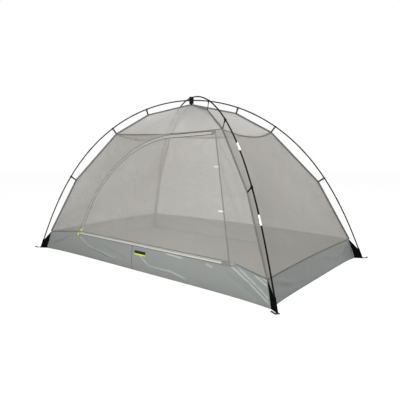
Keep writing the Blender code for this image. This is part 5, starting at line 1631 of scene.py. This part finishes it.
def strap_mesh(frame_at, strap_length):
    """Webbing from the ridge, round the clip's bar and back."""
    bar = -(CLIP_OUTER_RADIUS + CLIP_NECK + CLIP_WINDOW + CLIP_BAR / 2)
    off = STRAP_GAP + STRAP_PLY / 2
    around = CLIP_BAR / 2 + off
    aside = CLIP_FRAME_THICKNESS / 2 + off
    tail = -(strap_length - FIN_HEIGHT * 0.35)
    lead = [
        (tail, 0.0007), (lerp(tail, bar - around, 0.5), 0.0006), (bar - around - 0.0035, 0.0007),
        (bar - around * 0.6, aside * 0.9),
    ]
    route = list(lead)
    for angle in spread(math.pi / 2, -math.pi / 2, 8):
        route.append((bar + around * math.cos(angle) * 0.95, aside * math.sin(angle)))
    route += [(y, -z) for y, z in lead[::-1]]
    half = STRAP_WIDTH / 2
    profile = [(-half, 0.2), (-half * 0.9, 0.5), (half * 0.9, 0.5), (half, 0.2)]
    profile += [(x, -lift) for x, lift in profile[::-1]]
    rings = []
    for index, (y, z) in enumerate(route):
        before = Vector(route[max(index - 1, 0)])
        after = Vector(route[min(index + 1, len(route) - 1)])
        run = (after - before).normalized()
        side = Vector((0.0, -run.y, run.x)) * STRAP_PLY
        rings.append([frame_at @ (Vector((x, y, z)) + side * lift) for x, lift in profile])
    return sweep_mesh(rings, 50)


def build_ridges():
    for corner in CORNERS:
        path = COARSE_PATHS[CORNER_POLE[corner][0]]
        nodes = [f"ridge_binding_{corner}"]
        finish_piece(f"ridge_tape_{corner}", ridge_fin(corner), "ridge tape", nodes=nodes)
        straps = []
        for bend, place in ((1, "low"), (2, "middle"), (3, "high")):
            straps.append(strap_mesh(*clip_frame(path, bend, corner)))
            dress_node(f"clip_{corner}_{place}", "moulded black", 0.0003)
        finish_piece(f"straps_{corner}", joined(straps), "strap webbing")
    dress_node("crossing_clip", "moulded black", 0.0006)


# Poles

# A ferrule's rolled end: place along it and radius
FERRULE_END = ((0.0, 0.0047), (0.0004, 0.00535), (0.0018, 0.00535), (0.0026, 0.0051))
FERRULE_RADIUS = 0.0051


def pole_mesh(path, profile):
    """A round skin along a pole, from places along it and their radii."""
    arcs, radii = zip(*profile)
    return sweep_mesh(tube_rings([path.point(arc) for arc in arcs], radii, path.across), 40)


def build_poles():
    for label, ends in POLES.items():
        path = PolePath(*ends, 24)
        count = 2 * SECTIONS_PER_HALF
        for k in range(1, count + 1):
            start = path.length * (k - 1) / count
            end = path.length * k / count
            profile = [(arc, POLE_RADIUS) for arc in spread(start, end, 22)]
            foot = start if k == 1 else end
            inward = POLE_TIP_LENGTH if k == 1 else -POLE_TIP_LENGTH
            step = math.copysign(0.0002, inward)
            tip = [
                (foot, POLE_TIP_RADIUS), (foot + inward, POLE_TIP_RADIUS),
                (foot + inward + step, POLE_RADIUS),
            ]
            if k == 1:
                profile = tip + profile[1:]
            if k == count:
                profile = profile[:-1] + tip[::-1]
            nodes = [f"pole_{label}_section_{k}"]
            rod = pole_mesh(path, profile)
            finish_piece(f"{label}_rod_{k}", rod, "fibreglass", nodes=nodes)
            if k == count:
                continue
            first, last = end - FERRULE_LENGTH / 2, end + FERRULE_LENGTH / 2
            profile = [(first + along, radius) for along, radius in FERRULE_END]
            profile += [(arc, FERRULE_RADIUS) for arc in spread(first + 0.004, last - 0.004, 6)]
            profile += [(last - along, radius) for along, radius in FERRULE_END[::-1]]
            # Only the front pole's ferrules near its feet get the painted highlight; all others keep the dark
            # colour
            near_foot = min(k, count - k) <= 2
            metal = "bright ferrule" if label == "high" and near_foot else "dark ferrule"
            finish_piece(f"{label}_ferrule_{k}", pole_mesh(path, profile), metal)
        dress_node(f"shock_cord_{label}", "elastic")


# Corner gussets, hooks, tie-backs and label


def flat_solid(outlines, thickness, matrix, bevel):
    """A flat outline, with holes, as a soft-edged slab."""
    curve = bpy.data.curves.new("outline", "CURVE")
    curve.dimensions = "2D"
    curve.fill_mode = "BOTH"
    curve.extrude = thickness / 2 - bevel
    curve.bevel_depth = bevel
    curve.bevel_resolution = 2
    curve.offset = -bevel
    for outline in outlines:
        spline = curve.splines.new("POLY")
        spline.points.add(len(outline) - 1)
        for point, place in zip(spline.points, outline):
            point.co = (place[0], place[1], 0.0, 1.0)
        spline.use_cyclic_u = True
    item = new_object("outline", curve)
    bpy.context.view_layer.update()
    mesh = bpy.data.meshes.new_from_object(item.evaluated_get(bpy.context.evaluated_depsgraph_get()))
    bpy.data.objects.remove(item, do_unlink=True)
    bpy.data.curves.remove(curve)
    edit_mesh(mesh, lambda shape: bmesh.ops.remove_doubles(shape, verts=shape.verts, dist=1e-6))
    for layer in list(mesh.uv_layers):
        mesh.uv_layers.remove(layer)
    layer = mesh.uv_layers.new(name="cloth")
    for loop in mesh.loops:
        layer.data[loop.index].uv = mesh.vertices[loop.vertex_index].co.xy
    mesh.transform(matrix)
    mesh.shade_smooth()
    mesh.set_sharp_from_angle(angle=math.radians(40))
    return mesh


# The pole pocket's rings: place along it and how far it stands out beyond its radius
POCKET_RINGS = (
    (-0.0015, -0.0008), (0.0, 0.0), (0.004, 0.0), (0.02, 0.0), (0.035, 0.0), (0.05, 0.0),
    (0.062, 0.0), (0.0645, 0.0), (0.065, 0.0006), (0.0745, 0.0006), (0.075, 0.0),
)
POCKET_STRAIGHT = 0.04


def build_gussets():
    """Each corner's web, the piping along it, its pole pocket and its peg hook."""
    for corner, (pole, from_start) in CORNER_POLE.items():
        path = COARSE_PATHS[pole]
        out = diagonal(corner)
        across = out.cross(UP)
        direction = 1 if from_start else -1
        foot_arc = 0.0 if from_start else path.length
        foot = path.points[0 if from_start else -1]
        upwards = path.tangent(foot_arc) * direction
        entry = path.point(foot_arc + direction * POCKET_LENGTH)
        foot_place, entry_place = (
            Vector((math.hypot(place.x, place.y), place.z)) for place in (foot, entry)
        )
        inner_side = Vector((-upwards.z, upwards.dot(out)))
        web_start = entry_place + inner_side * (POLE_RADIUS + POLE_CLEARANCE + POCKET_WALL / 2)
        web_start -= Vector((upwards.dot(out), upwards.z)) * POCKET_WALL
        top = Vector(RIDGE[0]) + Vector((GUSSET_GAP, -FIN_END_GAP))
        ground = GUSSET_GROUND_GAP
        lean = TUB_CORNER_LEAN * ground / TUB_CORNER_HEIGHT
        bottom = (CORNER_REACH + GUSSET_GAP + lean, ground)
        eye = Vector((foot_place.x + EYE_OUTSET, EYE_RADIUS + ground))
        rim = [polar(EYE_RADIUS, angle, eye) for angle in spread(-math.pi / 2, math.pi * 0.62, 14)]
        outline = [top, bottom, *rim, (foot_place.x, foot_place.y + EYE_RADIUS), web_start]
        hole = [polar(EYE_HOLE_RADIUS, -2 * math.pi * k / 20, eye) for k in range(20)]
        matrix = frame_matrix(Vector((0, 0, 0)), out, UP, across)
        web = flat_solid([outline, hole], GUSSET_THICKNESS, matrix, GUSSET_BEVEL)
        nodes = [f"corner_gusset_{corner}"]
        finish_piece(f"gusset_web_{corner}", web, "gusset cloth", nodes=nodes)
        line = [out * x + UP * y for x, y in spread(top, web_start, 10)]
        piping = sweep_mesh(tube_rings(line, GUSSET_PIPING_RADIUS, across, 10))
        finish_piece(f"gusset_piping_{corner}", piping, "gusset piping")
        centres = [
            foot + upwards * arc if arc < POCKET_STRAIGHT else path.point(foot_arc + direction * arc)
            for arc, _ in POCKET_RINGS
        ]
        mouth = centres[-1] - centres[-2]
        centres += [centres[-1] + mouth * 0.02, centres[-1] + mouth * 0.03]
        radii = [POCKET_RADIUS + swell for _, swell in POCKET_RINGS]
        radii += [POLE_RADIUS + 0.0004, POLE_RADIUS + 0.0002]
        sleeve = sweep_mesh(tube_rings(centres, radii, across, 20), 50)
        finish_piece(f"gusset_pocket_{corner}", sleeve, "gusset cloth")
        build_hook(corner, out * eye.x + UP * eye.y)


def rounded_route(points):
    """The route with its corners cut three times over, and its two ends kept."""
    for _ in range(3):
        cut = [points[0]]
        for first, second in zip(points, points[1:]):
            cut += [first.lerp(second, 0.25), first.lerp(second, 0.75)]
        points = cut + [points[-1]]
    return points


# The hooks' shanks: places out from the eye, across and up
HOOK_ROUTES = {
    "front_right": (
        (0.005, -0.005, 0.0), (0.004, -0.012, 0.0), (-0.002, -0.022, 0.007 / 3),
        (-0.011, -0.026, 0.007), (-0.020, -0.030, 0.007),
    ),
    "front_left": ((0.010, 0.0, 0.0), (0.022, 0.0, 0.0), (0.034, 0.0, 0.007 / 3), (0.043, 0.0, 0.007)),
    "back": ((0.010, 0.0, 0.0), (0.018, 0.0, 0.001), (0.026, 0.0, 0.005), (0.029, 0.0, 0.0085)),
}


def build_hook(corner, eye):
    """A peg hook: a wire ring through the gusset's eye, and a shank that thickens to its tip."""
    out = diagonal(corner)
    place = frame_matrix(eye, out, UP.cross(out), UP)
    circle = []
    for k in range(-1, 29):
        x, y = polar(HOOK_RING_RADIUS, 2 * math.pi * k / 28, (HOOK_RING_RADIUS, 0.0))
        circle.append(place @ Vector((x, y, 0.0)))
    ring = sweep_mesh(tube_rings(circle, HOOK_WIRE_RADIUS, UP, 10)[1:-1], loop=True)
    route = HOOK_ROUTES["back" if corner.startswith("back") else corner]
    centres = rounded_route([place @ Vector(point) for point in route])
    radii = []
    for k in range(len(centres)):
        share = k / (len(centres) - 1)
        body = lerp(HOOK_WIRE_RADIUS, HOOK_SHANK_RADIUS, min(1.0, share / 0.35))
        radii.append(body * math.sqrt(max(0.02, 1 - max(0.0, (share - 0.86) / 0.14) ** 2)))
    shank = sweep_mesh(tube_rings(centres, radii, UP, 14))
    mesh = joined([ring, shank])
    finish_piece(f"hook_{corner}", mesh, "peg wire", f"{corner}_hook", [f"peg_hook_{corner}"])


def tie_place(along, across, off):
    """A place on the tie-back, which leaves its seam square and then runs level."""
    bent = TIE_TURN * min(1.0, along / TIE_BEND)
    return Vector((
        along * math.cos(bent) + across * math.sin(bent),
        across * math.cos(bent) - along * math.sin(bent),
        off,
    ))


def build_tie_backs():
    seam = Vector((HINGE_TOP_X - HINGE_SILL_X, HINGE_TOP_SLOPE - ZIP_SILL)).normalized()
    turn = math.atan2(-seam.x, seam.y) + math.pi
    out = -(NET_THICKNESS + SEAM_GAP + TIE_ROLL_RADIUS)
    for label, slope in TIE_SLOPES.items():
        base = door_matrix(hinge_x(slope) + TIE_SEAM_OFFSET, slope, out, turn)
        body = f"{label}_tie"
        lines = []
        for side in (-TIE_WIDTH / 2, TIE_WIDTH / 2):
            lines.append([
                base @ tie_place(TIE_LENGTH * share, side, -TIE_DROOP * math.sin(math.pi * share))
                for share in spread(0.0, 1.0, 16)
            ])
        side, _, normal = base.to_3x3().transposed()
        strap = sweep_mesh(band_rings(*lines, [normal] * 17, 0.0014), 50)
        finish_piece(f"{body}_strap", strap, "tie webbing", body, [f"tie_back_{label}"])
        roll = [base @ Vector((0.0, y, 0.0)) for y in spread(-TIE_WIDTH / 2, TIE_WIDTH / 2, 4)]
        mesh = sweep_mesh(tube_rings(roll, TIE_ROLL_RADIUS, side, 12), 50)
        finish_piece(f"{body}_roll", mesh, "tie webbing", body)
        centres, radii = [], []
        for cross in spread(-1.0, 1.0, 12):
            centres.append(base @ tie_place(TIE_LENGTH * 0.86, TOGGLE_HALF_LENGTH * cross, -0.0024))
            ends = 1 - 0.75 * abs(cross) ** 6
            radii.append(TOGGLE_RADIUS * ends * (1 - 0.12 * math.cos(math.pi * cross) ** 8))
        mesh = sweep_mesh(tube_rings(centres, radii, side, 14), 70)
        finish_piece(f"{body}_toggle", mesh, "toggle", body)


def build_label():
    """The bare label: a thin slab over the wall's own curve, its lower part in another colour."""
    low = Vector((0.0, -TUB_HALF_WIDTH, 0.0))
    up = (front_point(0.0, ZIP_SILL - CLOTH_EDGE) - low).normalized()
    out = Vector((1.0, 0.0, 0.0)).cross(up)
    top = low + up * (LABEL_TOP_HEIGHT / up.z)
    columns, rows, split = 24, 9, 6
    wide = columns + 1
    size = wide * (rows + 1)
    verts, uvs = [], []
    for layer in (1, 0):
        for r in range(rows + 1):
            for c in range(wide):
                x = LABEL_X + LABEL_LENGTH * c / columns
                down = LABEL_HEIGHT * r / rows
                rim = min(c, columns - c, r, rows - r)
                lift = 0.0009 + layer * (0.0009, 0.0014, 0.0011)[min(rim, 2)]
                pucker = 0.0002 * math.sin(c * 2.1) if rim else 0.0
                place = top - up * down + out * (lift + pucker * layer) + Vector((x, 0, 0))
                drawn = foot_inset(Vector((x, -TUB_HALF_WIDTH, 0.0))).y * float(foot_share(place.z))
                verts.append(place + Vector((0, drawn, 0)))
                uvs.append((x, down))
    faces, marks = [], []
    for layer in (0, 1):
        for r in range(rows):
            for c in range(columns):
                a = layer * size + r * wide + c
                quad = (a, a + wide, a + wide + 1, a + 1)
                faces.append(quad if layer == 0 else quad[::-1])
                marks.append(int(r >= split))
    rim = list(range(wide))
    rim += [r * wide + columns for r in range(1, rows + 1)]
    rim += [rows * wide + c for c in range(columns - 1, -1, -1)]
    rim += [r * wide for r in range(rows - 1, 0, -1)]
    for first, second in zip(rim, rim[1:] + rim[:1]):
        faces.append((first, second, second + size, first + size))
        marks.append(int(min(first, second) // wide >= split))
    mesh = mesh_of(verts, faces, uvs, 50)
    mesh.polygons.foreach_set("material_index", marks)
    finish_piece("bare_label", mesh, ("label black", "label band"), nodes=["label_patch"])


# Studio


CAMERA_PLACE = (1.9953, -2.3527, 0.7879)
CAMERA_YAW = math.radians(-39.077)
CAMERA_PITCH = math.radians(-6.816)
CAMERA_ROLL = -0.0031
CAMERA_LENS = 35.886
CAMERA_SENSOR = 36.0
CAMERA_SHIFT = -0.0011


def build_camera():
    forward = Vector((
        math.sin(CAMERA_YAW) * math.cos(CAMERA_PITCH),
        math.cos(CAMERA_YAW) * math.cos(CAMERA_PITCH),
        math.sin(CAMERA_PITCH),
    ))
    level = forward.cross(UP).normalized()
    above = level.cross(forward)
    right = level * math.cos(CAMERA_ROLL) + above * math.sin(CAMERA_ROLL)
    top = above * math.cos(CAMERA_ROLL) - level * math.sin(CAMERA_ROLL)
    lens = bpy.data.cameras.new("photo_camera")
    lens.sensor_width = CAMERA_SENSOR
    lens.lens = CAMERA_LENS
    lens.shift_x = CAMERA_SHIFT
    lens.clip_end = 60.0
    camera = new_object("photo_camera", lens)
    camera.matrix_world = frame_matrix(Vector(CAMERA_PLACE), right, top, -forward)
    bpy.context.scene.camera = camera


FLOOR_REACH = 14.0
FLOOR_LEVEL = -0.001
FLOOR_TONE = 0.82
FLOOR_SHADE = 0.12
LIGHTS_AIM = Vector((0, 0, 0.4))
# Place, size and the power's name on the panel
SOFTBOXES = {
    "key_softbox": ((0.7, -2.6, 1.7), 1.4, "key_power"),
    "top_softbox": ((2.0, 1.2, 4.8), 2.0, "top_power"),
    "right_fill": ((3.6, -2.4, 3.4), 2.0, "fill_power"),
}


def plain_to_camera(nodes, strength):
    """A strength that only the camera, reflections and glass see."""
    rays = nodes.add("ShaderNodeLightPath").outputs
    seen = nodes.math("MAXIMUM", rays["Is Camera Ray"], rays["Is Glossy Ray"])
    seen = nodes.math("MAXIMUM", seen, rays["Is Transmission Ray"])
    return nodes.math("MULTIPLY", seen, strength)


def build_floor_and_lights():
    sizes = bpy.context.scene.net_tent_sizes
    mesh = bpy.data.meshes.new("studio_floor")
    corners = [(x * FLOOR_REACH, y * FLOOR_REACH, FLOOR_LEVEL) for x, y in CORNERS.values()]
    mesh.from_pydata(corners, [], [(0, 1, 2, 3)])
    floor = new_object("studio_floor", mesh)
    material, nodes, shader = new_material("studio floor", 0.95, specular=0.0)
    near_white = plain_to_camera(nodes, FLOOR_SHADE - FLOOR_TONE)
    nodes.put(shader, {
        "Base Color": nodes.math("ADD", near_white, FLOOR_TONE),
        "Emission Color": (1.0, 1.0, 1.0, 1.0),
        "Emission Strength": plain_to_camera(nodes, sizes.floor_glow),
    })
    mesh.materials.append(material)
    world = bpy.data.worlds.new("studio")
    bpy.context.scene.world = world
    world.use_nodes = True
    nodes = Nodes(world.node_tree)
    strength = nodes.math("MAXIMUM", plain_to_camera(nodes, 1.0), sizes.sky_light)
    values = {"Color": (1.0, 1.0, 1.0, 1.0), "Strength": strength}
    nodes.put(world.node_tree.nodes["Background"], values)
    for name, (place, size, power) in SOFTBOXES.items():
        light = bpy.data.lights.new(name, "AREA")
        light.shape = "SQUARE"
        light.size = size
        light.energy = getattr(sizes, power)
        lamp = new_object(name, light)
        lamp.location = place
        lamp.rotation_euler = (LIGHTS_AIM - Vector(place)).to_track_quat("-Z", "Y").to_euler()
    bpy.context.scene.view_settings.view_transform = "Standard"


def build_stage():
    build_camera()
    build_floor_and_lights()


# Add-on


def metres(name, default, description, high):
    return bpy.props.FloatProperty(
        name=name, default=default, min=0.0, max=high, unit="LENGTH", precision=4, description=description
    )


def tint(name, default, description):
    return bpy.props.FloatVectorProperty(
        name=name, default=default, subtype="COLOR", min=0.0, max=1.0, size=3, description=description
    )


def amount(name, default, description, high=1.0):
    return bpy.props.FloatProperty(name=name, default=default, min=0.0, max=high, description=description)


class NetTentSizes(bpy.types.PropertyGroup):
    fold_depth: metres("Tub folds", 0.006, "Depth of the creases drawn into the tub's walls", 0.012)
    net_folds: metres("Net folds", 0.0035, "Depth of the tension folds at the clips", 0.01)
    net_slack: metres("Net slack", 0.008, "How far the net's slack stands off its plane", 0.02)
    net_cover: amount("Net cover", 0.47, "Share of the net's area that its yarn covers")
    floor_glow: amount("Floor glow", 0.93, "Light added to the floor for the camera", 2.0)
    sky_light: amount("Sky light", 0.42, "Strength of the even light from all round", 2.0)
    key_power: amount("Key light", 61.0, "Power of the softbox close in front, in watts", 2000.0)
    top_power: amount("Top light", 172.0, "Power of the softbox high at the right, in watts", 2000.0)
    fill_power: amount("Fill light", 14.0, "Power of the softbox at the right in front, in watts", 2000.0)

class NetTentColours(bpy.types.PropertyGroup):
    net: tint("Wall net", (0.268, 0.256, 0.230), "Yarn of the walls' net")
    # Roof net yarn painted lighter than the wall net, standing in for the light on the roof
    roof_net: tint("Roof net", (0.354, 0.346, 0.326), "Yarn of the roof's net")
    # Door net yarn painted a little lighter than the wall net, standing in for the light on the door
    door_net: tint("Door net", (0.300, 0.287, 0.260), "Yarn of the door's net")
    tub: tint("Tub", (0.200, 0.212, 0.203), "Coated cloth of the tub's walls")
    # Painted highlight along the tub's sharp creases, lighter than the cloth
    tub_creases: tint("Tub's creases", (0.370, 0.385, 0.370), "Coating worn pale along the sharp creases")
    # Inside face of the tub's walls, painted lighter to stand in for the light inside the tub
    tub_inside: tint("Tub's inside", (0.375, 0.388, 0.372), "Uncoated face of the tub's walls")
    ground: tint("Groundsheet", (0.205, 0.214, 0.205), "Inner face of the tub's floor")
    hem: tint("Hems", (0.095, 0.093, 0.087), "Hems and seam tape")
    patch: tint("Zip end patches", (0.16, 0.16, 0.152), "Squares sewn over the zips' ends")
    edging: tint("Zip edging", (0.060, 0.060, 0.056), "Edges of the zip tapes")
    ridge: tint("Ridge tape", (0.120, 0.118, 0.110), "Binding along the ridges")
    strap: tint("Straps", (0.014, 0.014, 0.015), "Webbing of the clip straps")
    thread: tint("Thread", (0.32, 0.32, 0.30), "Sewing thread")
    zip_tape: tint("Zip tape", (0.44, 0.435, 0.41), "Tape of the arched zip")
    sill_tape: tint("Sill zip tape", (0.43, 0.43, 0.41), "Tape of the zip along the tub")
    coil: tint("Zip coil", (0.34, 0.34, 0.32), "Spiral of the zips")
    gusset: tint("Gussets", (0.004, 0.004, 0.0045), "Corner gussets and pockets")
    pole: tint("Poles", (0.004, 0.004, 0.0045), "Fibreglass sections")
    # Ferrules near the front pole's feet, painted bright as a painted highlight
    ferrule: tint("Bright ferrules", (0.80, 0.80, 0.80), "Metal sleeves of the pole in front")
    dark_ferrule: tint("Dark ferrules", (0.012, 0.012, 0.014), "Coated sleeves of the other pole")
    clip: tint("Clips", (0.012, 0.012, 0.014), "Moulded clips")
    peg: tint("Peg hooks", (0.02, 0.02, 0.022), "Coated wire of the peg hooks")
    slider: tint("Sliders", (0.30, 0.31, 0.29), "Painted zip sliders")
    pull: tint("Pull tabs", (0.52, 0.60, 0.03), "Moulded pull tabs and label band")
    tie: tint("Tie-backs", (0.90, 0.90, 0.87), "Webbing of the tie-backs")
    toggle: tint("Toggles", (0.10, 0.10, 0.10), "Barrels of the tie-backs")
    label: tint("Label", (0.015, 0.015, 0.017), "Ground of the bare label")


class Step:
    """What every building step does with its maker"""

    def execute(self, context):
        self.build()
        return {"FINISHED"}


class NETTENT_OT_stage(Step, bpy.types.Operator):
    """Sets up the camera, the floor and the lights"""

    bl_idname = "net_tent.stage"
    bl_label = "Stage"
    build = staticmethod(build_stage)


class NETTENT_OT_tub(Step, bpy.types.Operator):
    """Sews the tub floor, its walls and its tapes"""

    bl_idname = "net_tent.tub"
    bl_label = "Tub floor"
    build = staticmethod(build_tub)


class NETTENT_OT_side_nets(Step, bpy.types.Operator):
    """Hangs the nets of the two ends and the back"""

    bl_idname = "net_tent.side_nets"
    bl_label = "End and back nets"
    build = staticmethod(build_side_nets)


class NETTENT_OT_front_net(Step, bpy.types.Operator):
    """Hangs the fixed net round the door"""

    bl_idname = "net_tent.front_net"
    bl_label = "Front net"
    build = staticmethod(build_front_net)


class NETTENT_OT_roof(Step, bpy.types.Operator):
    """Hangs the net roof"""

    bl_idname = "net_tent.roof"
    bl_label = "Roof net"
    build = staticmethod(build_roof)


class NETTENT_OT_door(Step, bpy.types.Operator):
    """Makes the door panel and its hinge seam"""

    bl_idname = "net_tent.door"
    bl_label = "Door"
    build = staticmethod(build_door)


class NETTENT_OT_zips(Step, bpy.types.Operator):
    """Makes the zips, their sliders and pull tabs"""

    bl_idname = "net_tent.zips"
    bl_label = "Zips"
    build = staticmethod(build_zips)


class NETTENT_OT_ridges(Step, bpy.types.Operator):
    """Makes the ridge tapes, the straps and the clips' finish"""

    bl_idname = "net_tent.ridges"
    bl_label = "Ridges and clips"
    build = staticmethod(build_ridges)


class NETTENT_OT_poles(Step, bpy.types.Operator):
    """Makes the two poles and their ferrules"""

    bl_idname = "net_tent.poles"
    bl_label = "Poles"
    build = staticmethod(build_poles)


class NETTENT_OT_gussets(Step, bpy.types.Operator):
    """Makes the corner gussets, pole pockets and peg hooks"""

    bl_idname = "net_tent.gussets"
    bl_label = "Corner gussets"
    build = staticmethod(build_gussets)


class NETTENT_OT_tie_backs(Step, bpy.types.Operator):
    """Makes the two door tie-backs"""

    bl_idname = "net_tent.tie_backs"
    bl_label = "Tie-backs"
    build = staticmethod(build_tie_backs)


class NETTENT_OT_label(Step, bpy.types.Operator):
    """Sews on the bare label"""

    bl_idname = "net_tent.label"
    bl_label = "Label"
    build = staticmethod(build_label)


STEPS = ("stage", "tub", "side_nets", "front_net", "roof", "door", "zips", "ridges", "poles",
         "gussets", "tie_backs", "label")


class NETTENT_PT_panel(bpy.types.Panel):
    """Lists the tent's sizes, colours and building steps"""

    bl_idname = "NETTENT_PT_panel"
    bl_label = "Net tent"
    bl_space_type = "VIEW_3D"
    bl_region_type = "UI"
    bl_category = "Net tent"

    def draw(self, context):
        for group in (context.scene.net_tent_sizes, context.scene.net_tent_colours):
            for name in group.__annotations__:
                self.layout.prop(group, name)
        for step in STEPS:
            self.layout.operator(f"net_tent.{step}")


CLASSES = (
    NetTentSizes, NetTentColours, NETTENT_OT_stage, NETTENT_OT_tub, NETTENT_OT_side_nets,
    NETTENT_OT_front_net, NETTENT_OT_roof, NETTENT_OT_door, NETTENT_OT_zips, NETTENT_OT_ridges,
    NETTENT_OT_poles, NETTENT_OT_gussets, NETTENT_OT_tie_backs, NETTENT_OT_label, NETTENT_PT_panel,
)


def register():
    for item in CLASSES:
        bpy.utils.register_class(item)
    bpy.types.Scene.net_tent_sizes = bpy.props.PointerProperty(type=NetTentSizes)
    bpy.types.Scene.net_tent_colours = bpy.props.PointerProperty(type=NetTentColours)


def unregister():
    del bpy.types.Scene.net_tent_colours
    del bpy.types.Scene.net_tent_sizes
    for item in reversed(CLASSES):
        bpy.utils.unregister_class(item)


def main():
    register()
    for step in STEPS:
        getattr(bpy.ops.net_tent, step)()


if __name__ == "__main__":
    main()
